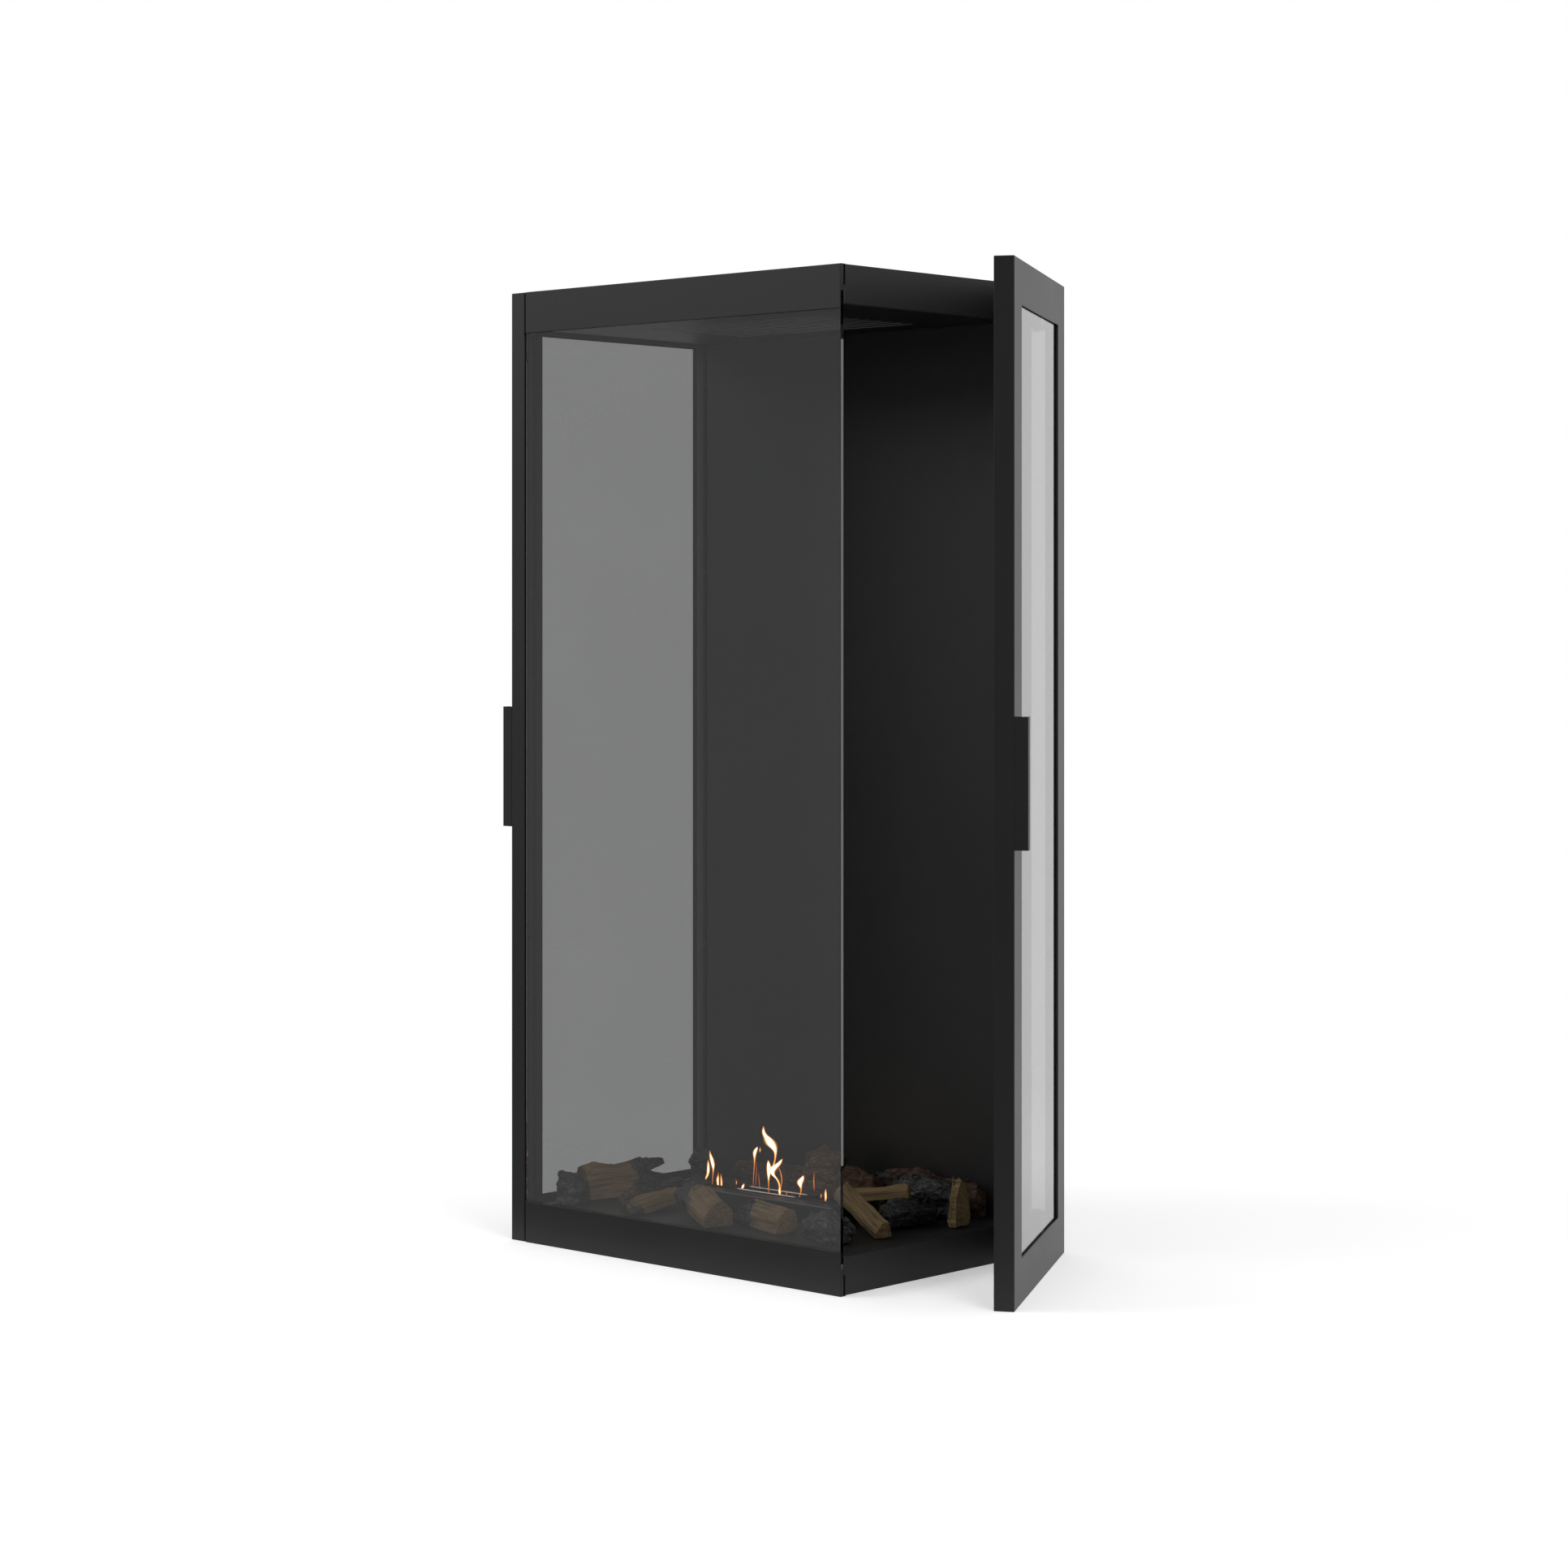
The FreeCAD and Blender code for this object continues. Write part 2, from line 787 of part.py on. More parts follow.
# Ceramic logs: cross sections as shares of width and height, flat side down
section_shares = {
    "split": ((-0.50, 0.0), (0.48, 0.0), (0.50, 0.36), (0.26, 0.88), (-0.08, 1.0), (-0.42, 0.60)),
    "bark": ((-0.34, 0.0), (0.34, 0.0), (0.50, 0.34), (0.42, 0.78), (0.12, 1.0), (-0.26, 0.95), (-0.50, 0.52)),
    "charcoal": ((-0.44, 0.0), (0.42, 0.0), (0.50, 0.42), (0.30, 0.90), (-0.14, 1.0), (-0.46, 0.66)),
}
station_shares = (0.0, 0.10, 0.36, 0.66, 0.90, 1.0)
girth_shares = {
    "split": (0.97, 1.0, 1.0, 0.98, 1.0, 0.96),
    "bark": (0.90, 1.0, 1.02, 1.0, 0.97, 0.88),
    "charcoal": (0.62, 0.94, 1.0, 0.98, 0.90, 0.56),
}
# name, kind, across and back as shares of the floor, length, width and height as shares, yaw, pitch
log_shares = (
    ("log_front_left_charcoal", "charcoal", -0.880, -0.770, 0.34, 0.92, 1.14, 15, 0),
    ("log_left_split", "split", -0.868, -0.170, 1.14, 0.94, 1.18, 81, 0),
    ("log_left_dark", "bark", -0.618, -0.250, 1.00, 0.86, 0.64, 99, 0),
    ("log_rear_left_charcoal", "charcoal", -0.765, 0.560, 0.30, 0.84, 1.32, 10, 0),
    ("log_rear_left_bark", "bark", -0.411, 0.846, 1.20, 0.90, 0.90, -3, 0),
    ("log_front_small_split", "split", -0.445, -0.562, 0.76, 0.70, 0.54, 93, 4),
    ("log_front_wide_split", "split", -0.085, -0.600, 0.98, 1.04, 0.92, 153, 7),
    ("log_front_middle_split", "split", 0.268, -0.512, 0.90, 0.86, 0.84, -19, 0),
    ("log_front_right_charcoal", "charcoal", 0.688, -0.590, 0.70, 1.10, 0.92, -20, 0),
    ("log_rear_middle_bark", "bark", 0.030, 0.600, 0.48, 0.98, 1.76, 4, 0),
    ("log_rear_small_bark", "bark", 0.275, 0.545, 0.48, 0.92, 1.30, 3, 0),
    ("log_right_low_charcoal", "charcoal", 0.735, 0.230, 0.72, 0.98, 0.84, 77, 0),
    ("log_right_high_charcoal", "charcoal", 0.612, 0.655, 0.90, 0.96, 1.34, 3, 0),
    ("log_rear_right_bark", "bark", 0.500, 0.900, 1.46, 0.70, 1.20, 0, 0),
    ("log_right_upright_split", "split", 0.905, 0.480, 0.14, 0.84, 1.56, 6, 0),
    ("log_front_leaning_split", "split", 0.676, -0.180, 0.95, 0.66, 0.58, 158, 17),
    ("log_middle_stick", "split", 0.565, 0.190, 0.70, 0.54, 0.46, 27, 6),
)


def log_shape(seed, kind, length, width, height):
    wires = []
    for station, along_share in enumerate(station_shares):
        girth = girth_shares[kind][station]
        points = []
        for point, (across_share, up_share) in enumerate(section_shares[kind]):
            wave = math.sin(1.9 * seed + 2.7 * station + 4.1 * point)
            swell = girth * (1 + log_roughness_share * wave)
            x = length * (along_share - 0.5)
            points.append(Vector(x, width * across_share * swell, height * up_share * swell))
        wires.append(Part.makePolygon(points + points[:1]))
    return Part.makeLoft(wires, True, True)


def over(upper, lower):
    apart_across = upper.XMin > lower.XMax or lower.XMin > upper.XMax
    apart_back = upper.YMin > lower.YMax or lower.YMin > upper.YMax
    return not (apart_across or apart_back)


def settled(piece, lying):
    fall = hood_under - hearth_top
    piece.translate(Vector(0, 0, hood_under - piece.BoundBox.ZMin))
    under = [other for other in lying if over(piece.BoundBox, other.BoundBox)]
    while fall > log_seat_gap / 2:
        gaps = [piece.distToShape(other)[0] for other in under]
        fall = min(gaps + [piece.BoundBox.ZMin - hearth_top]) - log_seat_gap
        piece.translate(Vector(0, 0, -fall))
    return piece


def logs():
    middle_back = (tray_front + liner_face) / 2
    half_back = (liner_face - tray_front) / 2
    surround = burner_surround()
    lying = {}
    for seed, row in enumerate(log_shares):
        name, kind, across_share, back_share, long_share, wide_share, high_share, yaw, pitch = row
        piece = log_shape(
            seed, kind, log_length * long_share, log_thickness * wide_share, log_thickness * high_share
        )
        piece.rotate(Vector(), along_y, -pitch)
        piece.rotate(Vector(), along_z, yaw)
        piece.translate(Vector(half_body * across_share, middle_back + half_back * back_share, 0))
        lying[name] = settled(piece, [surround] + list(lying.values()))
    return lying


def as_opened(shape):
    turned = shape.copy()
    turned.rotate(Vector(hinge_x, hinge_y, 0), along_z, door_open_angle)
    return turned


def all_parts():
    right_post = rear_post()
    right_brackets = hinge_brackets()
    right_magnets = catch_magnets()
    bottom_rail = front_bottom_rail()
    parts = {
        "hearth_tray": hearth_tray(),
        "base_plate": cover_plate(),
        "ceiling_tray": ceiling_tray(),
        "top_cover": top_cover(),
        "back_liner": back_liner(),
        "rear_cover": rear_cover(),
        "left_rear_post": mirrored(right_post),
        "right_rear_post": right_post,
        "front_top_rail": flipped(bottom_rail),
        "front_bottom_rail": bottom_rail,
        "front_glass": front_glass(),
        "glass_setting_strip": glass_setting_strip(),
        "glass_support_angle": glass_support_angle(),
        "glass_seals": glass_seals(),
        "cabinet_screws": cabinet_screws(),
        "cover_screws": cover_screws(),
        "left_hinge_brackets": mirrored(right_brackets),
        "right_hinge_brackets": right_brackets,
        "hinge_pins": hinge_pins(),
        "left_catch_magnets": mirrored(right_magnets),
        "right_catch_magnets": right_magnets,
        "burner_surround": burner_surround(),
        "burner_tank": burner_tank(),
        "burner_wool": burner_wool(),
        "burner_shutter": burner_shutter(),
    }
    for name, make in door_makers.items():
        shut = make()
        parts["left_" + name] = mirrored(shut)
        parts["right_" + name] = as_opened(shut)
    parts.update(logs())
    return parts


os.makedirs("parts", exist_ok=True)
for node, shape in all_parts().items():
    shape.exportStep("parts/" + node + ".step")
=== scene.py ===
import json
import math
import bmesh
import bpy
from mathutils import Matrix, Vector, noise


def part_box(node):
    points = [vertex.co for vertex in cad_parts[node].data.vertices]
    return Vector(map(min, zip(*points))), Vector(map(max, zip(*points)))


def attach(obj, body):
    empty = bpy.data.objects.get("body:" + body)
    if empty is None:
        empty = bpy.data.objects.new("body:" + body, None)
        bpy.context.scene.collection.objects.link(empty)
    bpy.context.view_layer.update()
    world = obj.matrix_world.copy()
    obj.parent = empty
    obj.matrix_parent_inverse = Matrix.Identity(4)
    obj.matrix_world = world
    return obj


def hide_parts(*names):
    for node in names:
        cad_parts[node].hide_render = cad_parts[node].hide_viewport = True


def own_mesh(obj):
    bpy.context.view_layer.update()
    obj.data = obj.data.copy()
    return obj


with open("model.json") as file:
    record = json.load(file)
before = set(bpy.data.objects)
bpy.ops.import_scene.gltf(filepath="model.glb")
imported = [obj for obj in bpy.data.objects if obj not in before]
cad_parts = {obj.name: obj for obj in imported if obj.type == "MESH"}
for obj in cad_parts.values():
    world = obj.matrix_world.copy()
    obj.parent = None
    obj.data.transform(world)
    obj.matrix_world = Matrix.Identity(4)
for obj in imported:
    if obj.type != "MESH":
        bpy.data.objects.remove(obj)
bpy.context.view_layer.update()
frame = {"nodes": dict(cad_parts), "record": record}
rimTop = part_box("burner_tank")[1].z
scene = bpy.context.scene
scene.view_settings.view_transform = "Standard"
print("frame loaded:", len(frame["nodes"]), "nodes")


# Camera, set to the photograph's view
cameraSetup = {
    "lens": 80.0,
    "sensor": 36.0,
    "place": (3.6833, -4.0219, 0.9804),
    "turn": 42.455,
    "shiftY": -0.1038,
    "farthest": 60.0,
}


def addCamera(setup):
    data = bpy.data.cameras.new("photoCamera")
    data.lens = setup["lens"]
    data.sensor_width = setup["sensor"]
    data.shift_y = setup["shiftY"]
    data.clip_end = setup["farthest"]
    camera = bpy.data.objects.new("photoCamera", data)
    camera.location = setup["place"]
    camera.rotation_euler = (math.radians(90), 0, math.radians(setup["turn"]))
    scene.collection.objects.link(camera)
    scene.camera = camera


addCamera(cameraSetup)
print("camera set")


# Small helpers for nodes and meshes
def addNode(tree, kind, **settings):
    node = tree.nodes.new(kind)
    for key, value in settings.items():
        setattr(node, key, value)
    return node


def feed(tree, socket, value):
    # a socket takes a link from another socket, or a plain value
    if isinstance(value, bpy.types.NodeSocket):
        tree.links.new(value, socket)
    else:
        socket.default_value = value


def feedAll(tree, node, values):
    for label, value in values.items():
        feed(tree, node.inputs[label], value)


def calc(tree, operation, *values):
    node = addNode(tree, "ShaderNodeMath", operation=operation)
    feedAll(tree, node, dict(enumerate(values)))
    return node.outputs[0]


def span(tree, value, source=(0.0, 1.0), target=(0.0, 1.0), curve="LINEAR"):
    node = addNode(tree, "ShaderNodeMapRange", interpolation_type=curve)
    labels = ("Value", "From Min", "From Max", "To Min", "To Max")
    feedAll(tree, node, dict(zip(labels, (value, *source, *target))))
    return node.outputs[0]


def mixColor(tree, share, first, second, blend="MIX"):
    node = addNode(tree, "ShaderNodeMix", data_type="RGBA", blend_type=blend)
    feedAll(tree, node, {0: share, 6: first, 7: second})  # 6 and 7 are its colour sockets
    return node.outputs[2]


def mixShader(tree, share, first, second):
    node = addNode(tree, "ShaderNodeMixShader")
    feedAll(tree, node, {0: share, 1: first, 2: second})
    return node.outputs[0]


def noiseTexture(tree, vector, scale, detail):
    node = addNode(tree, "ShaderNodeTexNoise")
    feedAll(tree, node, {"Vector": vector, "Scale": scale, "Detail": detail})
    return node


def tones(tree, value, stops):
    ramp = addNode(tree, "ShaderNodeValToRGB")
    band = ramp.color_ramp
    while len(band.elements) < len(stops):
        band.elements.new(0.5)
    for element, (spot, color) in zip(band.elements, stops):
        element.position = spot
        element.color = (*color, 1)
    feed(tree, ramp.inputs[0], value)
    return ramp.outputs[0]


def axes(tree, vector):
    node = addNode(tree, "ShaderNodeSeparateXYZ")
    feed(tree, node.inputs[0], vector)
    return node.outputs


def objectSpace(tree):
    return addNode(tree, "ShaderNodeTexCoord").outputs["Object"]


def attribute(tree, name, out="Fac"):
    return addNode(tree, "ShaderNodeAttribute", attribute_name=name).outputs[out]


def newMaterial(name):
    material = bpy.data.materials.new(name)
    material.use_nodes = True
    tree = material.node_tree
    return material, tree, tree.nodes["Principled BSDF"]


def newObject(name, bm):
    mesh = bpy.data.meshes.new(name)
    bm.to_mesh(mesh)
    bm.free()
    made = bpy.data.objects.new(name, mesh)
    scene.collection.objects.link(made)
    return made


def shadeSmooth(piece):
    polygons = piece.data.polygons
    polygons.foreach_set("use_smooth", [True] * len(polygons))


# Studio: white room, soft lamps, a pale floor and a grey card that shows in reflections alone
white = (1, 1, 1, 1)
black = (0, 0, 0, 1)
studio = {
    "roomLevel": 0.75,
    "floorSize": 40.0,
    "floorTone": (0.82, 0.82, 0.82, 1),
    "floorLift": 0.34,
    "floorFade": (0.9, 2.4),
    "cardTone": (0.34, 0.34, 0.34, 1),
    "cardWall": [(-7.0, -3.2, 0.002), (6.0, -3.2, 0.002), (6.0, -3.2, 6.0), (-7.0, -3.2, 6.0)],
    "cardMat": [(-7.0, -3.2, 0.002), (6.0, -3.2, 0.002), (6.0, -0.3, 0.002), (-7.0, -0.3, 0.002)],
    "lamps": {
        "softboxLeft": {"place": (-3.2, -3.4, 3.4), "aim": (0, 0, 0.7), "size": 2.4, "power": 70},
        "softboxRight": {"place": (4.2, -1.6, 3.6), "aim": (0.2, 0, 0.7), "size": 2.0, "power": 60},
    },
}


def seenDirectly(tree):
    # camera, mirror and glass rays see the plain white room
    path = addNode(tree, "ShaderNodeLightPath")
    seen = path.outputs["Is Camera Ray"]
    for ray in ("Is Glossy Ray", "Is Transmission Ray"):
        seen = calc(tree, "MAXIMUM", seen, path.outputs[ray])
    return seen


def addRoom(setup):
    world = bpy.data.worlds.new("whiteRoom")
    scene.world = world
    world.use_nodes = True
    tree = world.node_tree
    tree.nodes.clear()
    levels = []
    for strength in (setup["roomLevel"], 1.0):
        level = addNode(tree, "ShaderNodeBackground")
        feedAll(tree, level, {"Color": white, "Strength": strength})
        levels.append(level.outputs[0])
    output = addNode(tree, "ShaderNodeOutputWorld")
    feed(tree, output.inputs["Surface"], mixShader(tree, seenDirectly(tree), *levels))


def addLamp(name, lamp):
    data = bpy.data.lights.new(name, "AREA")
    data.shape = "SQUARE"
    data.size = lamp["size"]
    data.energy = lamp["power"]
    light = bpy.data.objects.new(name, data)
    light.location = lamp["place"]
    aim = Vector(lamp["aim"]) - Vector(lamp["place"])
    light.rotation_euler = aim.to_track_quat("-Z", "Y").to_euler()
    scene.collection.objects.link(light)


def addFloor(setup):
    bm = bmesh.new()
    bmesh.ops.create_grid(bm, x_segments=2, y_segments=2, size=setup["floorSize"] / 2)
    floor = newObject("studioFloor", bm)
    material, tree, shader = newMaterial("paleFloor")
    # away from the object the floor turns into the plain white of the room
    away = addNode(tree, "ShaderNodeVectorMath", operation="LENGTH")
    feed(tree, away.inputs[0], objectSpace(tree))
    fade = span(tree, away.outputs["Value"], setup["floorFade"], curve="SMOOTHSTEP")
    lift = span(tree, fade, target=(setup["floorLift"], 1.0))
    feedAll(tree, shader, {
        "Base Color": mixColor(tree, fade, setup["floorTone"], black),
        "Roughness": 1.0,
        "Specular IOR Level": 0.0,
        "Emission Color": white,
        "Emission Strength": calc(tree, "MULTIPLY", seenDirectly(tree), lift),
    })
    floor.data.materials.append(material)


def addGreyCard(setup):
    bm = bmesh.new()
    for corners in (setup["cardWall"], setup["cardMat"]):
        bmesh.ops.contextual_create(bm, geom=[bm.verts.new(corner) for corner in corners])
    card = newObject("greyCard", bm)
    material, tree, shader = newMaterial("greyCard")
    feedAll(tree, shader, {
        "Base Color": black,
        "Specular IOR Level": 0.0,
        "Emission Color": setup["cardTone"],
        "Emission Strength": 1.0,
    })
    card.data.materials.append(material)
    card.visible_camera = False
    card.visible_diffuse = False
    card.visible_shadow = False


addRoom(studio)
for lampName, lampRow in studio["lamps"].items():
    addLamp(lampName, lampRow)
addFloor(studio)
addGreyCard(studio)
print("studio ready")


# Shared surface effects
def newGroup(name, inputs, outputs):
    group = bpy.data.node_groups.new(name, "ShaderNodeTree")
    sockets = group.interface
    for label, kind, value in inputs:
        socket = sockets.new_socket(name=label, in_out="INPUT", socket_type="NodeSocket" + kind)
        if value is not None:
            socket.default_value = value
    for label, kind in outputs:
        sockets.new_socket(name=label, in_out="OUTPUT", socket_type="NodeSocket" + kind)
    return group, addNode(group, "NodeGroupInput").outputs, addNode(group, "NodeGroupOutput")


def stretched(group, source):
    # coordinates drawn out along X, which is the length of a log
    scale = addNode(group, "ShaderNodeCombineXYZ")
    feedAll(group, scale, {0: source["Along"], 1: source["Across"], 2: source["Across"]})
    stretch = addNode(group, "ShaderNodeVectorMath", operation="MULTIPLY")
    feedAll(group, stretch, {0: source["Vector"], 1: scale.outputs[0]})
    return stretch.outputs[0]


def makeFineSpeckle():
    # fine grain for the bump, broad cloud for colour and gloss
    group, source, sink = newGroup(
        "fineSpeckle",
        [("Vector", "Vector", None), ("Grain", "Float", 900.0), ("Cloud", "Float", 4.0)],
        [("Fine", "Float"), ("Broad", "Float")],
    )
    for out, scale, detail in (("Fine", "Grain", 3.0), ("Broad", "Cloud", 4.0)):
        texture = noiseTexture(group, source["Vector"], source[scale], detail)
        feed(group, sink.inputs[out], texture.outputs[0])
    return group


def makeStretchedGrain():
    # long streaks, for wood grain and brushed metal
    group, source, sink = newGroup(
        "stretchedGrain",
        [
            ("Vector", "Vector", None),
            ("Along", "Float", 10.0),
            ("Across", "Float", 200.0),
            ("Wander", "Float", 0.6),
        ],
        [("Value", "Float")],
    )
    texture = noiseTexture(group, stretched(group, source), 1.0, 5.0)
    feed(group, texture.inputs["Distortion"], source["Wander"])
    feed(group, sink.inputs["Value"], texture.outputs[0])
    return group


plateShape = {"wobbleScale": 1.6, "wobbleDetail": 4.0, "wobble": (0.9, 0.9, 0.9), "rimWidth": 2.4}


def makeCrackedPlates(shape):
    # plates of bark or charcoal, the cracks between them and the band along the crack rims, which
    # carries a painted highlight
    group, source, sink = newGroup(
        "crackedPlates",
        [
            ("Vector", "Vector", None),
            ("Along", "Float", 30.0),
            ("Across", "Float", 40.0),
            ("Width", "Float", 0.06),
        ],
        [("Crack", "Float"), ("Rim", "Float"), ("Plate", "Float")],
    )
    drawn = stretched(group, source)
    wobble = noiseTexture(group, drawn, shape["wobbleScale"], shape["wobbleDetail"])
    bent = addNode(group, "ShaderNodeVectorMath", operation="MULTIPLY_ADD")
    feedAll(group, bent, {0: wobble.outputs["Color"], 1: shape["wobble"], 2: drawn})
    border = addNode(group, "ShaderNodeTexVoronoi", feature="DISTANCE_TO_EDGE")
    cells = addNode(group, "ShaderNodeTexVoronoi")
    for texture in (border, cells):
        feedAll(group, texture, {"Vector": bent.outputs[0], "Scale": 1.0})
    wide = calc(group, "MULTIPLY", source["Width"], shape["rimWidth"])
    crack, rimBand = [
        span(group, border.outputs["Distance"], (0.0, reach), (1.0, 0.0), "SMOOTHSTEP")
        for reach in (source["Width"], wide)
    ]
    tint = addNode(group, "ShaderNodeSeparateColor")
    feed(group, tint.inputs[0], cells.outputs["Color"])
    feedAll(group, sink, {
        "Crack": crack,
        "Rim": calc(group, "SUBTRACT", rimBand, crack),
        "Plate": tint.outputs[0],
    })
    return group


charLook = {
    "ashScale": 130.0,
    "ashDetail": 6.0,
    "burnt": [(0.42, (0.0032, 0.0036, 0.0040)), (0.76, (0.0145, 0.0165, 0.0178))],
    "rimHighlight": (0.080, 0.087, 0.090, 1),
    "cavityShadeTone": (0.010, 0.008, 0.007, 1),
    "cavityShadeShare": 0.8,
    "gloss": (0.85, 0.50),
}


def makeCharCoat(look):
    # burnt black with a painted highlight in silver on the crack rims and painted shade in cavities
    # and cracks, laid over any log colour
    group, source, sink = newGroup(
        "charCoat",
        [
            ("Color", "Color", None),
            ("Char", "Float", 0.0),
            ("CavityShade", "Float", 0.0),
            ("Rim", "Float", 0.0),
            ("Vector", "Vector", None),
        ],
        [("Color", "Color"), ("Gloss", "Float")],
    )
    charAndHighlightNoise = noiseTexture(group, source["Vector"], look["ashScale"], look["ashDetail"]).outputs[0]
    # painted highlight: the crack rims turn a lighter silver
    highlightShare = calc(group, "MULTIPLY", source["Rim"], charAndHighlightNoise)
    rimHighlighted = mixColor(group, highlightShare, tones(group, charAndHighlightNoise, look["burnt"]), look["rimHighlight"])
    coat = mixColor(group, source["Char"], source["Color"], rimHighlighted)
    # painted shade: the colour in cavities and cracks darkens towards a near-black tone
    shade = calc(group, "MULTIPLY", source["CavityShade"], look["cavityShadeShare"])
    feedAll(group, sink, {
        "Color": mixColor(group, shade, coat, look["cavityShadeTone"]),
        "Gloss": span(group, source["Char"], target=look["gloss"]),
    })
    return group


fineSpeckle = makeFineSpeckle()
stretchedGrain = makeStretchedGrain()
crackedPlates = makeCrackedPlates(plateShape)
charCoat = makeCharCoat(charLook)
print("surface effects made")


# Materials
noiseRange = (0.3, 0.7)  # holds most values of a noise


def place(tree, group, vector, **values):
    node = addNode(tree, "ShaderNodeGroup", node_tree=group)
    feedAll(tree, node, {"Vector": vector, **values})
    return node


def between(tree, value, low, high):
    return span(tree, value, noiseRange, (low, high))


def bump(tree, height, strength, depth):
    node = addNode(tree, "ShaderNodeBump")
    feedAll(tree, node, {"Strength": strength, "Distance": depth, "Height": height})
    return node.outputs[0]


# Steel, seals and wool: colour and gloss follow a broad cloud, the bump a fine grain
speckleStops = (0.35, 0.65)
speckleBump = 0.3
speckledLooks = {
    "black_steel": {
        "name": "powderBlack", "dark": (0.0060, 0.0060, 0.0063), "light": (0.0078, 0.0078, 0.0082),
        "gloss": (0.44, 0.48), "grain": 700.0, "depth": 0.00009, "level": 0.37,
    },
    "zinc_fastener": {
        "name": "zincPlate", "dark": (0.46, 0.47, 0.48), "light": (0.60, 0.61, 0.62),
        "gloss": (0.28, 0.42), "grain": 700.0, "depth": 0.0001, "metallic": 1.0,
    },
    "black_fastener": {
        "name": "blackOxide", "dark": (0.018, 0.018, 0.019), "light": (0.030, 0.030, 0.031),
        "gloss": (0.36, 0.46), "grain": 800.0, "depth": 0.0001,
    },
    "black_seal": {
        "name": "sealStrip", "dark": (0.030, 0.030, 0.030), "light": (0.046, 0.046, 0.046),
        "gloss": (0.70, 0.85), "grain": 600.0, "depth": 0.0004,
    },
    "magnet": {
        "name": "nickelMagnet", "dark": (0.52, 0.50, 0.46), "light": (0.64, 0.62, 0.58),
        "gloss": (0.18, 0.30), "grain": 500.0, "depth": 0.0001, "metallic": 1.0,
    },
    "ceramic_wool": {
        "name": "ceramicWool", "dark": (0.66, 0.64, 0.58), "light": (0.82, 0.81, 0.76),
        "gloss": (0.90, 1.0), "grain": 320.0, "depth": 0.0030,
    },
}


def speckledMaterial(look):
    material, tree, shader = newMaterial(look["name"])
    speckle = place(tree, fineSpeckle, objectSpace(tree), Grain=look["grain"]).outputs
    stops = list(zip(speckleStops, (look["dark"], look["light"])))
    feedAll(tree, shader, {
        "Base Color": tones(tree, speckle["Broad"], stops),
        "Roughness": between(tree, speckle["Broad"], *look["gloss"]),
        "Normal": bump(tree, speckle["Fine"], speckleBump, look["depth"]),
        "Metallic": look.get("metallic", 0.0),
        "Specular IOR Level": look.get("level", 0.5),
    })
    return material


# Burner steel: soot darkens it, but for the top of the rim in the middle, where bright steel is a
# painted highlight that stands for the flames' light
brushedLook = {
    "grain": {"Along": 6.0, "Across": 1400.0, "Wander": 0.0},
    "steel": [(0.3, (0.82, 0.81, 0.80)), (0.7, (0.94, 0.93, 0.92))],
    "soot": (0.030, 0.028, 0.026, 1),
    "litRimHeight": (rimTop - 0.0016, rimTop - 0.0011),
    "litRimHalf": (0.066, 0.056),
    "gloss": (0.16, 0.30),
    "metallic": (1.0, 0.25),
    "bump": 0.15,
    "depth": 0.0002,
    "anisotropic": 0.5,
}


def brushedMaterial(name, look):
    material, tree, shader = newMaterial(name)
    grain = place(tree, stretchedGrain, objectSpace(tree), **look["grain"]).outputs["Value"]
    spot = axes(tree, objectSpace(tree))
    onTop = span(tree, spot[2], look["litRimHeight"])
    inMiddle = span(tree, calc(tree, "ABSOLUTE", spot[0]), look["litRimHalf"])
    # painted highlight: the top of the rim near the flames keeps bright steel, the rest is soot dark
    flameLitPatch = calc(tree, "MULTIPLY", onTop, inMiddle)
    feedAll(tree, shader, {
        "Base Color": mixColor(tree, flameLitPatch, look["soot"], tones(tree, grain, look["steel"])),
        "Roughness": between(tree, grain, *look["gloss"]),
        "Metallic": between(tree, flameLitPatch, *look["metallic"]),
        "Normal": bump(tree, grain, look["bump"], look["depth"]),
        "Anisotropic": look["anisotropic"],
    })
    return material


glassLooks = {
    "frontGlass": {"thin": (0.98, 0.983, 0.983), "thick": (0.99, 0.993, 0.993), "ior": 1.55},
    "doorGlass": {"thin": (0.207, 0.208, 0.209), "thick": (0.217, 0.218, 0.219), "ior": 1.5},
}
glassCloud = 3.0
glassGloss = (0.0, 0.012)


def glassMaterial(name):
    look = glassLooks[name]
    material, tree, shader = newMaterial(name)
    cloud = place(tree, fineSpeckle, objectSpace(tree), Cloud=glassCloud).outputs["Broad"]
    feedAll(tree, shader, {
        "Base Color": tones(tree, cloud, list(zip(noiseRange, (look["thin"], look["thick"])))),
        "Roughness": between(tree, cloud, *glassGloss),
        "IOR": look["ior"],
        "Transmission Weight": 1.0,
    })
    # shadow rays pass the tinted pane
    clear = addNode(tree, "ShaderNodeBsdfTransparent")
    feed(tree, clear.inputs["Color"], (*[math.sqrt(tone) for tone in look["thin"]], 1))
    shadowRay = addNode(tree, "ShaderNodeLightPath").outputs["Is Shadow Ray"]
    surface = mixShader(tree, shadowRay, shader.outputs[0], clear.outputs[0])
    feed(tree, tree.nodes["Material Output"].inputs["Surface"], surface)
    return material


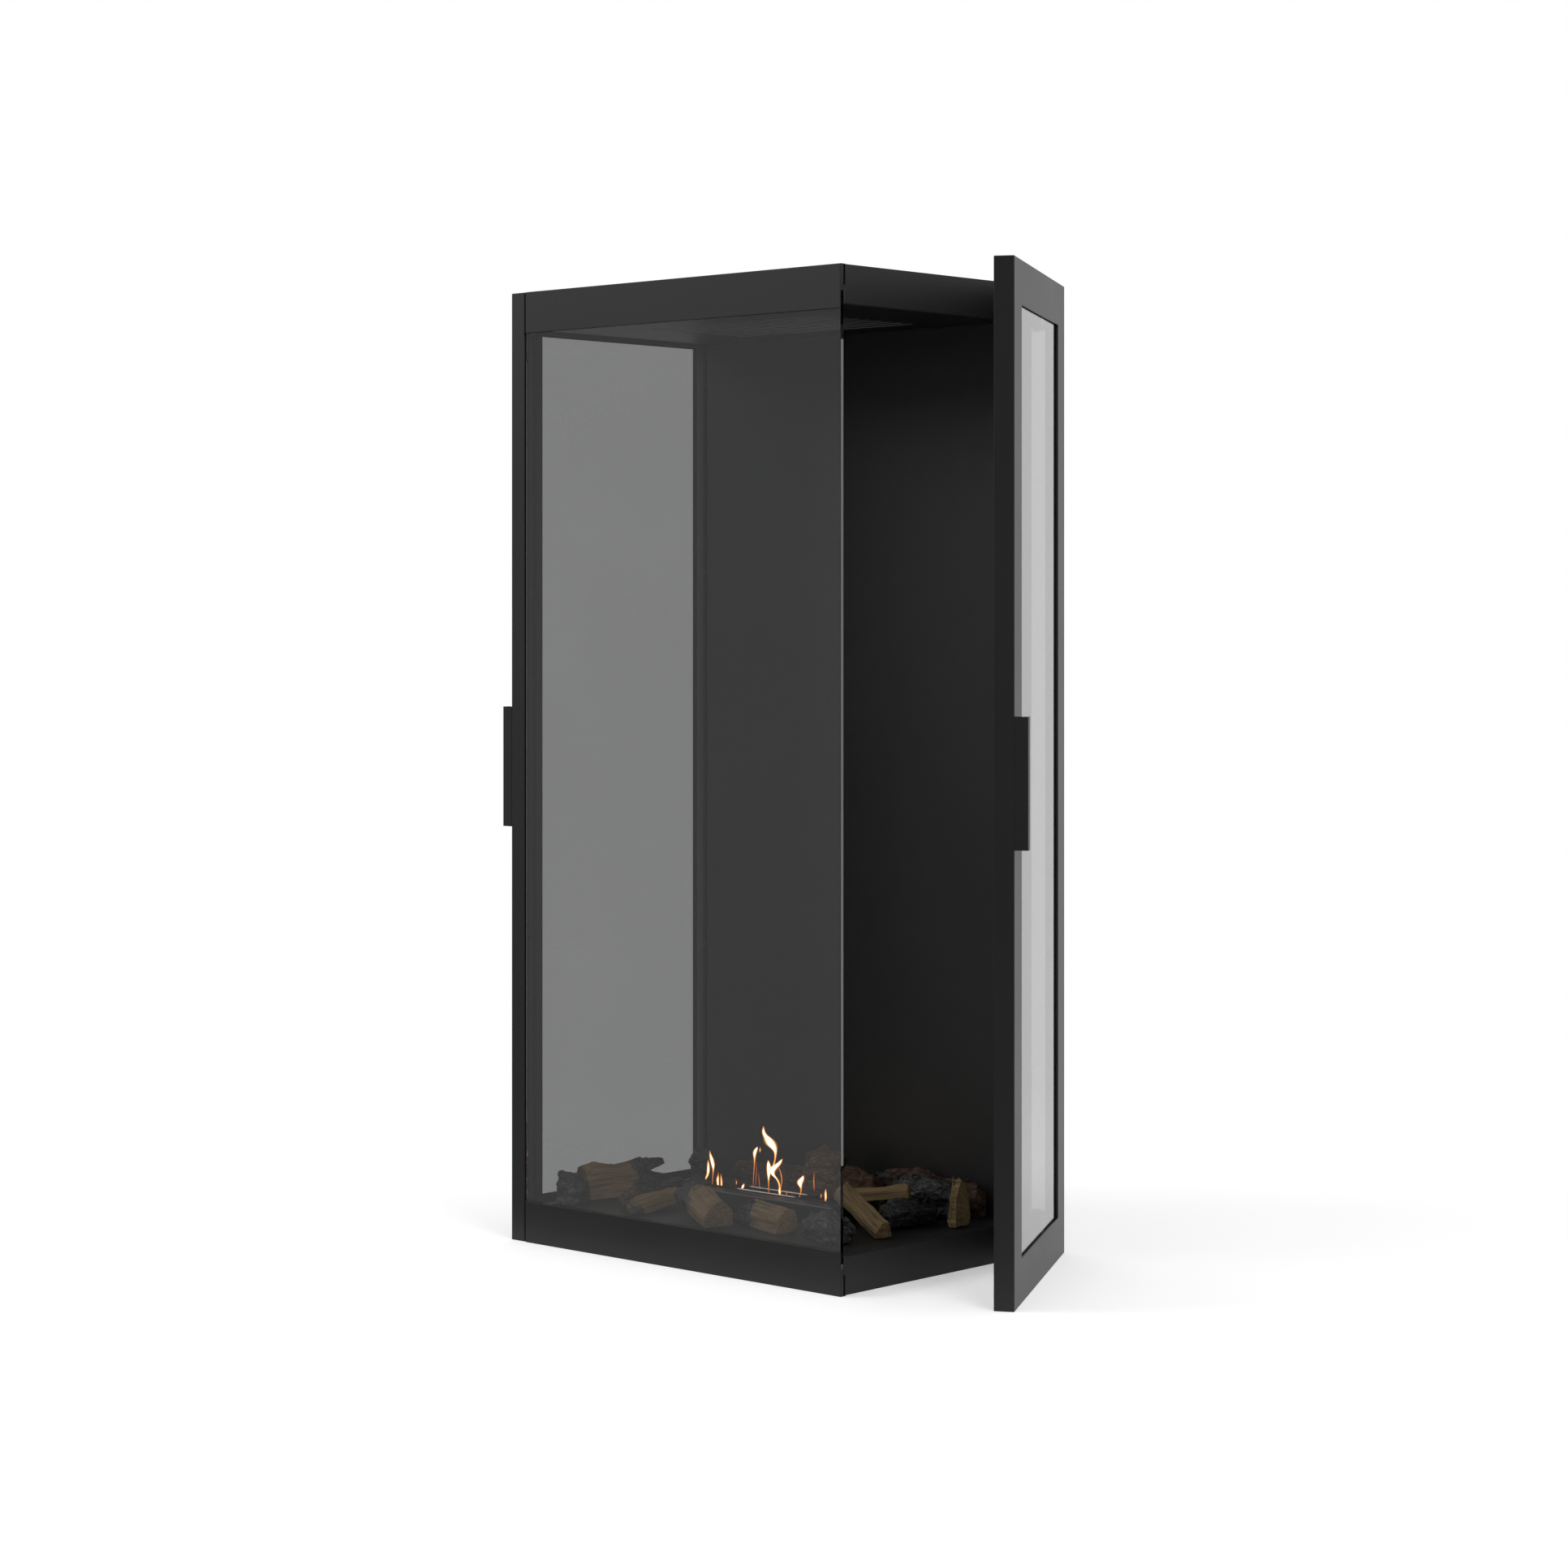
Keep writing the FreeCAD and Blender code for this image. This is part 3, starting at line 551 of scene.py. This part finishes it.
# Log colours: stops along the grain, its scale and depth, the plates and how cracked they are
logLooks = {
    "split_log": {
        "stops": [
            (0.28, (0.036, 0.022, 0.0095)),
            (0.44, (0.090, 0.059, 0.025)),
            (0.62, (0.130, 0.090, 0.039)),
            (0.80, (0.182, 0.134, 0.064)),
        ],
        "grain": {"Along": 9.0, "Across": 330.0},
        "depth": 0.0022,
        "plates": {"Along": 46.0, "Across": 40.0, "Width": 0.05},
        "cracked": 0.0,
    },
    "bark_log": {
        "stops": [
            (0.28, (0.014, 0.0080, 0.0046)),
            (0.48, (0.050, 0.027, 0.0145)),
            (0.64, (0.080, 0.046, 0.025)),
            (0.82, (0.115, 0.076, 0.046)),
        ],
        "grain": {"Along": 40.0, "Across": 150.0},
        "depth": 0.0014,
        "plates": {"Along": 26.0, "Across": 52.0, "Width": 0.07},
        "cracked": 0.9,
    },
    "charred_log": {
        "stops": [
            (0.32, (0.0028, 0.0032, 0.0036)),
            (0.52, (0.0050, 0.0058, 0.0064)),
            (0.70, (0.0105, 0.0120, 0.0130)),
            (0.86, (0.025, 0.028, 0.030)),
        ],
        "grain": {"Along": 12.0, "Across": 190.0},
        "depth": 0.0010,
        "plates": {"Along": 34.0, "Across": 72.0, "Width": 0.07},
        "cracked": 1.0,
    },
}
logFinish = {
    "wander": 0.8,
    "plateTones": [(0.1, (0.6, 0.6, 0.6)), (0.9, (1.0, 1.0, 1.0))],
    "crackHeight": -1.6,
    "bump": 0.8,
    "level": 0.30,
}


def logMaterial(name, look, finish):
    material, tree, shader = newMaterial(name)
    vector = attribute(tree, "logSpace", "Vector")
    charred = attribute(tree, "charred")
    streaks = place(tree, stretchedGrain, vector, Wander=finish["wander"], **look["grain"])
    grain = streaks.outputs["Value"]
    plates = place(tree, crackedPlates, vector, **look["plates"]).outputs
    # bark and charcoal crack, and so do the burnt ends of split wood
    cracked = calc(tree, "MAXIMUM", charred, look["cracked"])
    crack = calc(tree, "MULTIPLY", plates["Crack"], cracked)
    wood = tones(tree, grain, look["stops"])
    plateTone = tones(tree, plates["Plate"], finish["plateTones"])
    # the cracks join the cavities in the painted shade of the colour
    coat = place(tree, charCoat, vector, **{
        "Color": mixColor(tree, cracked, wood, plateTone, "MULTIPLY"),
        "Char": charred,
        "CavityShade": calc(tree, "MAXIMUM", attribute(tree, "cavityShade"), crack),
        "Rim": plates["Rim"],
    }).outputs
    height = calc(tree, "MULTIPLY_ADD", crack, finish["crackHeight"], grain)
    feedAll(tree, shader, {
        "Base Color": coat["Color"],
        "Roughness": coat["Gloss"],
        "Normal": bump(tree, height, finish["bump"], look["depth"]),
        "Specular IOR Level": finish["level"],
    })
    return material


# Painted highlight on the vent slots of the ceiling: their upright faces in the field of slots turn a
# lighter grey, which stands for the light that catches the slot edges
ventEdgeLight = {
    "tone": (0.17, 0.17, 0.175, 1),
    "upright": 0.5,
    "middle": (0.0, -0.004),
    "half": (0.186, 0.106),
}


def ventedSteel(plain, setup):
    material = plain.copy()
    material.name = "ventedBlackLitEdges"
    tree = material.node_tree
    color = tree.nodes["Principled BSDF"].inputs["Base Color"]
    spot = axes(tree, objectSpace(tree))
    face = axes(tree, addNode(tree, "ShaderNodeNewGeometry").outputs["Normal"])
    # painted highlight: upright faces near the middle of the slot field turn lighter grey
    litEdge = calc(tree, "COMPARE", face[2], 0.0, setup["upright"])
    for axis in (0, 1):
        near = calc(tree, "COMPARE", spot[axis], setup["middle"][axis], setup["half"][axis])
        litEdge = calc(tree, "MULTIPLY", litEdge, near)
    painted = color.links[0].from_socket
    feed(tree, color, mixColor(tree, litEdge, painted, setup["tone"]))
    return material


slotMaterials = {slot: speckledMaterial(look) for slot, look in speckledLooks.items()}
for slotName, slotLook in logLooks.items():
    slotMaterials[slotName] = logMaterial(slotName.replace("_", ""), slotLook, logFinish)
slotMaterials["stainless"] = brushedMaterial("brushedStainless", brushedLook)
slotMaterials["smoked_glass"] = glassMaterial("doorGlass")
ownFinish = {
    "front_glass": glassMaterial("frontGlass"),
    "ceiling_tray": ventedSteel(slotMaterials["black_steel"], ventEdgeLight),
}
slotOf = {row["node"]: row["material_slot"] for row in frame["record"]["subparts"]}
for nodeName, nodeObject in frame["nodes"].items():
    finish = ownFinish.get(nodeName) or slotMaterials[slotOf[nodeName]]
    for holder in nodeObject.material_slots:
        holder.material = finish
print("materials on", len(slotOf), "nodes")


# Ceramic logs: turn and tilt of each one, the end that is burnt, and how ragged that end is
logPieces = {
    "log_front_left_charcoal": {"turn": 15},
    "log_left_split": {
        "turn": 81, "burntEnd": 1, "burntFrom": 0.02, "ragged": 0.020,
        "notch": {"height": 0.60, "half": 0.17, "depth": 0.045},
    },
    "log_left_dark": {"turn": 99, "burntEnd": 1, "burntFrom": -0.30, "ragged": 0.010},
    "log_rear_left_charcoal": {"turn": 10},
    "log_rear_left_bark": {"turn": -3},
    "log_front_small_split": {
        "turn": 93, "tilt": 4, "burntEnd": -1, "burntFrom": 0.40, "ragged": 0.006,
    },
    "log_front_wide_split": {
        "turn": 153, "tilt": 7, "burntEnd": 1, "burntFrom": 0.06, "ragged": 0.012,
    },
    "log_front_middle_split": {"turn": -19, "burntEnd": -1, "burntFrom": 0.14, "ragged": 0.010},
    "log_front_right_charcoal": {"turn": -20},
    "log_rear_middle_bark": {"turn": 4},
    "log_rear_small_bark": {"turn": 3},
    "log_right_low_charcoal": {"turn": 77},
    "log_right_high_charcoal": {"turn": 3},
    "log_rear_right_bark": {"turn": 0, "burntEnd": -1, "burntFrom": 0.26, "ragged": 0.014},
    "log_right_upright_split": {"turn": 6, "burntEnd": -1, "burntFrom": 0.30, "ragged": 0.004},
    "log_front_leaning_split": {"turn": 158, "tilt": 17},
    "log_middle_stick": {"turn": 27, "tilt": 6},
}
logRelief = {
    "split_log": {
        "along": 6.0, "across": 95.0, "grain": 0.0011, "shade": 0.45,
        "lump": 0.0034, "lumpScale": 18.0, "ledges": 0, "crack": 0.0,
    },
    "bark_log": {
        "along": 22.0, "across": 40.0, "grain": 0.0008, "shade": 1.0,
        "lump": 0.0075, "lumpScale": 26.0, "ledges": 4, "crack": 0.0016,
    },
    "charred_log": {
        "along": 14.0, "across": 70.0, "grain": 0.0012, "shade": 1.0,
        "lump": 0.0105, "lumpScale": 28.0, "ledges": 4, "crack": 0.0008,
    },
}
logSkin = {
    "seed": 7,
    "voxel": 0.0017,
    "shiftStep": (3.7, 1.9, 5.3),  # each log lies elsewhere in the noise
    "patternShift": 0.1,
    "grainLayers": ((1.7, 1.0), (4.1, 0.5)),  # scale and weight
    "lumpStretch": 0.55,
    "lumpLayers": (0.9, 2.0, 3),
    "lumpRest": 0.35,
    "ledgeFlat": 0.7,
    "ledgeSlope": 0.3,
    "cavityShadeFrom": 0.25,
    "crackBend": 0.35,
    "crackBendScale": 1.3,
    "crackWidth": 0.16,
    "plateSeed": 9.1,
    "plateLift": 0.5,
    "grainCavityShade": 0.5,
}
burntSkin = {
    "wander": 0.35,
    "wanderScale": 38,
    "wanderLayers": (0.8, 2.0, 3),
    "edge": 4,
    "relief": 0.8,
    "tipFrom": 0.45,
    "tipOver": 0.55,
    "tornScale": 70,
    "tornLift": 0.35,
}


def mergedCopy(nodeName):
    bm = bmesh.new()
    bm.from_mesh(frame["nodes"][nodeName].data)
    bmesh.ops.remove_doubles(bm, verts=bm.verts, dist=1e-5)
    return newObject(nodeName.replace("log_", "logPiece_"), bm)


def remeshed(piece, voxel):
    fine = piece.modifiers.new("fineSkin", "REMESH")
    fine.mode = "VOXEL"
    fine.voxel_size = voxel
    bpy.context.view_layer.update()
    evaluated = piece.evaluated_get(bpy.context.evaluated_depsgraph_get())
    mesh = bpy.data.meshes.new_from_object(evaluated)
    piece.modifiers.clear()
    piece.data = mesh


def relief(kind, spot, shift):
    # how far a point of the log's skin moves out, and how much painted shade its colour gets for
    # lying in a groove or crack
    look, skin = logRelief[kind], logSkin
    along, across = look["along"], look["across"]
    drawn = Vector((spot.x * along, spot.y * across, spot.z * across)) + shift
    grain = sum(weight * noise.noise(drawn * scale) for scale, weight in skin["grainLayers"])
    lumpSpot = Vector((spot.x * skin["lumpStretch"], spot.y, spot.z)) * look["lumpScale"] + shift
    lump = noise.fractal(lumpSpot, *skin["lumpLayers"])
    if look["ledges"]:
        # flat flakes with steep edges
        level = lump * look["ledges"]
        flake = math.floor(level)
        steep = max(0.0, level - flake - skin["ledgeFlat"]) / skin["ledgeSlope"]
        lump = (flake + steep) / look["ledges"]
    move = look["grain"] * grain + look["lump"] * (lump - skin["lumpRest"])
    # painted shade: grooves of the grain darken the colour
    cavityShade = look["shade"] * max(0.0, -grain - skin["cavityShadeFrom"])
    if look["crack"]:
        bend = Vector(noise.noise_vector(drawn * skin["crackBendScale"]))
        spans, seats = noise.voronoi(drawn + skin["crackBend"] * bend)
        edge = min(1.0, (spans[1] - spans[0]) / skin["crackWidth"])
        plate = noise.cell(seats[0] * skin["plateSeed"])
        move += look["crack"] * (edge - 1.0 + skin["plateLift"] * plate)
        # painted shade: cracks get the full darkening
        cavityShade = max(cavityShade * skin["grainCavityShade"], 1.0 - edge)
    return move, min(1.0, cavityShade)


def burntAmount(row, spot, share, shift):
    skin = burntSkin
    wander = skin["wander"] * noise.fractal(spot * skin["wanderScale"] + shift, *skin["wanderLayers"])
    # burntFrom is a share of the log's whole length, measured from its middle
    return min(1.0, max(0.0, (share - row["burntFrom"] * 2 + wander) * skin["edge"]))


def pulledBack(row, spot, share, shift, rise):
    # how far a burnt end is eaten away
    skin = burntSkin
    tip = max(0.0, share - skin["tipFrom"]) / skin["tipOver"]
    torn = max(0.0, noise.noise(spot * skin["tornScale"] + shift) + skin["tornLift"])
    pulled = row["ragged"] * (tip * torn)
    if "notch" in row:
        # the end splits into two prongs
        notch = row["notch"]
        gap = max(0.0, 1.0 - abs(rise - notch["height"]) / notch["half"])
        pulled += notch["depth"] * gap * tip
    return pulled


def shapeLog(nodeName, row, number):
    kind = slotOf[nodeName]
    piece = mergedCopy(nodeName)
    remeshed(piece, logSkin["voxel"])
    low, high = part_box(nodeName)
    middle = (low + high) / 2
    tilt = Matrix.Rotation(math.radians(-row.get("tilt", 0)), 3, "Y")
    turn = Matrix.Rotation(math.radians(row["turn"]), 3, "Z") @ tilt
    back = turn.inverted()
    shift = Vector([number * step for step in logSkin["shiftStep"]])
    bm = bmesh.new()
    bm.from_mesh(piece.data)
    bm.normal_update()
    logSpace = bm.verts.layers.float_vector.new("logSpace")
    cavityShadeLayer = bm.verts.layers.float.new("cavityShade")
    charLayer = bm.verts.layers.float.new("charred")
    spots = {vert: back @ (vert.co - middle) for vert in bm.verts}
    half = max(abs(spot.x) for spot in spots.values())
    burntEnd = row.get("burntEnd", 0)
    for vert, spot in spots.items():
        move, cavityShade = relief(kind, spot, shift)
        burnt = 1.0 if kind == "charred_log" else 0.0
        if burntEnd:
            share = burntEnd * spot.x / half
            burnt = burntAmount(row, spot, share, shift)
            if burnt > 0:
                charMove, charCavityShade = relief("charred_log", spot, shift)
                move += (charMove - move) * burnt * burntSkin["relief"]
                cavityShade += (charCavityShade - cavityShade) * burnt
            rise = (vert.co.z - low.z) / (high.z - low.z)
            pulled = pulledBack(row, spot, share, shift, rise)
            vert.co -= turn @ Vector((burntEnd * pulled, 0, 0))
        vert.co += vert.normal * move
        vert.co.z = max(vert.co.z, low.z)
        vert[logSpace] = spot + shift * logSkin["patternShift"]
        vert[cavityShadeLayer] = cavityShade
        vert[charLayer] = burnt
    bm.to_mesh(piece.data)
    bm.free()
    shadeSmooth(piece)
    piece.data.materials.clear()
    piece.data.materials.append(slotMaterials[kind])
    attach(piece, "cabinet")
    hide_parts(nodeName)
    return len(piece.data.polygons)


noise.seed_set(logSkin["seed"])  # noise_vector starts from the clock otherwise
faceCount = 0
for logNumber, (logName, logRow) in enumerate(logPieces.items()):
    faceCount += shapeLog(logName, logRow, logNumber)
print("logs shaped:", len(logPieces), "faces", faceCount)


# Ceramic wool in the tank, seen through the burner slot
woolSetup = {
    "inset": 0.001,
    "round": 0.006,
    "roundSteps": 3,
    "cuts": 4,
    "fluff": 0.0018,
    "fluffScale": 160,
    "fluffLayers": (0.7, 2.0, 3),
    "fluffRest": 0.6,
}


def shapeWool(setup):
    low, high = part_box("burner_wool")
    bm = bmesh.new()
    bmesh.ops.create_cube(bm, size=1.0)
    size = high - low - Vector((setup["inset"],) * 3)
    bmesh.ops.scale(bm, vec=size, verts=bm.verts)
    bmesh.ops.translate(bm, vec=(low + high) / 2, verts=bm.verts)
    bmesh.ops.bevel(
        bm, geom=bm.edges[:], offset=setup["round"], affect="EDGES",
        segments=setup["roundSteps"], profile=0.5, material=-1,
    )
    bmesh.ops.triangulate(bm, faces=bm.faces[:])
    bmesh.ops.subdivide_edges(bm, edges=bm.edges[:], cuts=setup["cuts"], use_grid_fill=True)
    bm.normal_update()
    for vert in bm.verts:
        fluff = noise.fractal(vert.co * setup["fluffScale"], *setup["fluffLayers"])
        vert.co += vert.normal * setup["fluff"] * (fluff - setup["fluffRest"])
    wool = newObject("woolPad", bm)
    wool.data.materials.append(slotMaterials["ceramic_wool"])
    shadeSmooth(wool)
    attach(wool, "cabinet")
    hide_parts("burner_wool")


shapeWool(woolSetup)
print("wool laid in the tank")


# Painted light on the edges of the front pane: lighter grey strips that stand for the light the edges
# catch between the rails
edgeLightSetup = {
    "lift": 0.0001,
    "thick": 0.0004,
    "inset": 0.0005,
    "arris": 0.0001,
    "arrisSteps": 2,
    "from": 0.19,
    "to": 1.39,
    "dark": (0.208, 0.212, 0.212),
    "light": (0.26, 0.265, 0.265),
    "gloss": (0.45, 0.6),
    "grain": 2500.0,
    "bump": 0.2,
    "depth": 0.00005,
}


def edgeLightMaterial(look):
    material, tree, shader = newMaterial("paintedEdgeLight")
    speckle = place(tree, fineSpeckle, objectSpace(tree), Grain=look["grain"]).outputs
    stops = list(zip(noiseRange, (look["dark"], look["light"])))
    feedAll(tree, shader, {
        "Base Color": tones(tree, speckle["Fine"], stops),
        "Roughness": between(tree, speckle["Broad"], *look["gloss"]),
        "Normal": bump(tree, speckle["Fine"], look["bump"], look["depth"]),
    })
    return material


def shapePaneEdgeLight(setup):
    low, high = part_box("front_glass")
    middle = (low + high) / 2
    size = (setup["thick"], high.y - low.y - 2 * setup["inset"], setup["to"] - setup["from"])
    away = high.x + setup["lift"] + setup["thick"] / 2
    bm = bmesh.new()
    for side in (-1, 1):
        strip = bmesh.ops.create_cube(bm, size=1.0)["verts"]
        bmesh.ops.scale(bm, vec=size, verts=strip)
        spot = Vector((side * away, middle.y, (setup["from"] + setup["to"]) / 2))
        bmesh.ops.translate(bm, vec=spot, verts=strip)
    bmesh.ops.bevel(
        bm, geom=bm.edges[:], offset=setup["arris"], affect="EDGES",
        segments=setup["arrisSteps"], profile=0.5, material=-1,
    )
    edges = newObject("paneEdgeLight", bm)
    # painted reflection: the strips' lighter grey stands for the light on the pane edges, from the
    # span where they look bright
    edges.data.materials.append(edgeLightMaterial(setup))
    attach(edges, "cabinet")


shapePaneEdgeLight(edgeLightSetup)
print("pane edges ground")


# Flames: a tongue is a list of across, height and half width, in millimetres, from the slot up
flameSetup = {
    "back": -20.0,
    "sides": 8,
    "flat": 0.7,
    "softness": 2,
    "strength": 2.6,
    "fullWidth": 2.8,
    "heatPower": 1.6,
    # a tongue is three shells, from its dim veil to its bright core
    "shells": [
        {"width": 1.65, "glow": (0.06, 0.20), "dense": 0.16},
        {"width": 1.20, "glow": (0.08, 0.52), "dense": 0.42},
        {"width": 0.80, "glow": (0.10, 1.00), "dense": 0.92},
    ],
    "thinShare": 0.24,
    "colors": [
        (0.08, (0.26, 0.045, 0.006)),
        (0.30, (0.56, 0.19, 0.035)),
        (0.54, (0.92, 0.60, 0.25)),
        (0.80, (1.0, 0.93, 0.78)),
    ],
    "glowPower": 0.16,
    "glowColor": (1.0, 0.60, 0.28),
    "glowRadius": 0.03,
    "glowPlace": (0.0, -0.02, 0.17),
    "tongues": [
        [
            (-144, 93, 0.5), (-143, 97, 1.8), (-139, 102, 1.9), (-138, 110, 2.3),
            (-138, 119, 1.9), (-139, 127, 0.3),
        ],
        [
            (-130, 84, 0.6), (-129, 94, 0.7), (-128, 104, 0.9), (-127, 112, 1.5),
            (-128, 120, 2.8), (-131, 128, 2.8), (-134, 135, 1.6), (-135, 142, 0.3),
        ],
        [(-115, 80, 0.5), (-117, 88, 1.8), (-118, 97, 2.2), (-116, 104, 1.0), (-117, 109, 0.2)],
        [(-110, 81, 0.5), (-109, 90, 1.8), (-110, 99, 1.5), (-111, 108, 0.2)],
        [(-78, 92, 0.2), (-76, 96, 1.3), (-78, 101, 0.3)],
        [(-66, 86, 0.5), (-63, 91, 2.7), (-60, 98, 0.3)],
        [
            (-41, 92, 0.5), (-40, 112, 0.7), (-38, 130, 0.9), (-38, 140, 1.6), (-38, 148, 3.0),
            (-34, 154, 2.4), (-31, 158, 0.3),
        ],
        [(-36, 94, 0.4), (-34, 112, 0.6), (-34, 135, 0.3)],
        [(-27, 148, 0.2), (-26, 152, 1.6), (-26, 158, 0.3)],
        [(-27, 90, 0.4), (-28, 104, 0.7), (-30, 118, 0.2)],
        [
            (-7, 80, 0.4), (-8, 94, 0.8), (-8, 106, 1.1), (-8, 115, 2.2), (-7, 124, 3.6),
            (-8, 132, 2.8), (-9, 140, 0.3),
        ],
        [
            (17, 78, 0.6), (19, 82, 2.2), (16, 87, 1.5), (15, 93, 2.2), (16, 99, 1.5),
            (14, 106, 1.6), (9, 112, 1.8), (2, 116, 2.4), (-2, 121, 4.2), (0, 126, 6.2),
            (7, 131, 5.0), (13, 135, 3.4), (18, 140, 2.2), (22, 145, 0.3),
        ],
        [(16, 92, 0.4), (20, 104, 0.9), (20, 116, 1.0), (16, 126, 0.9), (11, 132, 0.4)],
        [
            (1, 129, 1.6), (5, 138, 1.3), (6, 144, 1.4), (7, 151, 1.9), (5, 157, 3.4),
            (0, 161, 6.6), (-4, 166, 7.8), (-7, 170, 7.0), (-11, 174, 5.0), (-16, 177, 3.2),
            (-19, 182, 2.4), (-19, 187, 1.6), (-19, 192, 0.3),
        ],
        [(31, 87, 0.3), (30, 91, 1.0), (31, 96, 0.2)],
        [
            (56, 86, 0.5), (60, 96, 1.0), (61, 103, 1.3), (57, 108, 3.4), (59, 114, 4.8),
            (63, 118, 2.8), (66, 124, 0.3),
        ],
        [(88, 100, 0.4), (87, 112, 0.9), (87, 122, 0.8), (88, 130, 0.2)],
        [(101, 91, 0.3), (102, 95, 1.3), (103, 100, 0.2)],
        [(110, 86, 0.5), (112, 92, 1.8), (111, 100, 1.9), (112, 109, 0.2)],
    ],
}


def flameMaterial(setup):
    material, tree, shader = newMaterial("flameLight")
    feedAll(tree, shader, {
        "Base Color": black,
        "Roughness": 1.0,
        "Specular IOR Level": 0.0,
        "Emission Color": tones(tree, attribute(tree, "glowLevel"), setup["colors"]),
        "Emission Strength": setup["strength"],
        "Alpha": attribute(tree, "veilLevel"),
    })
    return material


def addTongue(bm, layers, tongue, shell, setup):
    glowLayer, veilLayer = layers
    dim, bright = shell["glow"]
    thin = setup["thinShare"]
    rings = []
    for across, rise, reach in tongue:
        heat = min(1.0, reach / setup["fullWidth"]) ** setup["heatPower"]
        radius = shell["width"] * reach / 1000
        ring = bmesh.ops.create_circle(bm, segments=setup["sides"], radius=radius)["verts"]
        bmesh.ops.scale(bm, vec=(1, setup["flat"], 1), verts=ring)
        spot = Vector((across, setup["back"], rise)) / 1000
        bmesh.ops.translate(bm, vec=spot, verts=ring)
        for vert in ring:
            vert[glowLayer] = dim + (bright - dim) * heat
            vert[veilLayer] = shell["dense"] * (thin + (1 - thin) * heat)
        rings.append(list(dict.fromkeys(edge for vert in ring for edge in vert.link_edges)))
    for lower, upper in zip(rings, rings[1:]):
        bmesh.ops.bridge_loops(bm, edges=lower + upper)
    for end in (rings[0], rings[-1]):
        bmesh.ops.contextual_create(bm, geom=end)


def shapeFlames(setup):
    bm = bmesh.new()
    layers = [bm.verts.layers.float.new(name) for name in ("glowLevel", "veilLevel")]
    for tongue in setup["tongues"]:
        for shell in setup["shells"]:
            addTongue(bm, layers, tongue, shell, setup)
    bmesh.ops.recalc_face_normals(bm, faces=bm.faces[:])
    flames = newObject("flames", bm)
    flames.data.materials.append(flameMaterial(setup))
    shadeSmooth(flames)
    soft = flames.modifiers.new("softTongues", "SUBSURF")
    soft.levels = soft.render_levels = setup["softness"]
    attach(flames, "cabinet")
    return flames


def addGlow(setup):
    data = bpy.data.lights.new("flameGlow", "POINT")
    data.energy = setup["glowPower"]
    data.color = setup["glowColor"]
    data.shadow_soft_size = setup["glowRadius"]
    glow = bpy.data.objects.new("flameGlow", data)
    glow.location = setup["glowPlace"]
    glow.visible_camera = False
    glow.visible_glossy = False
    glow.visible_transmission = False
    scene.collection.objects.link(glow)


flamePiece = shapeFlames(flameSetup)
addGlow(flameSetup)
# a closed shutter hides what is left of the flames
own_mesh(flamePiece)
print("flames lit:", len(flameSetup["tongues"]))
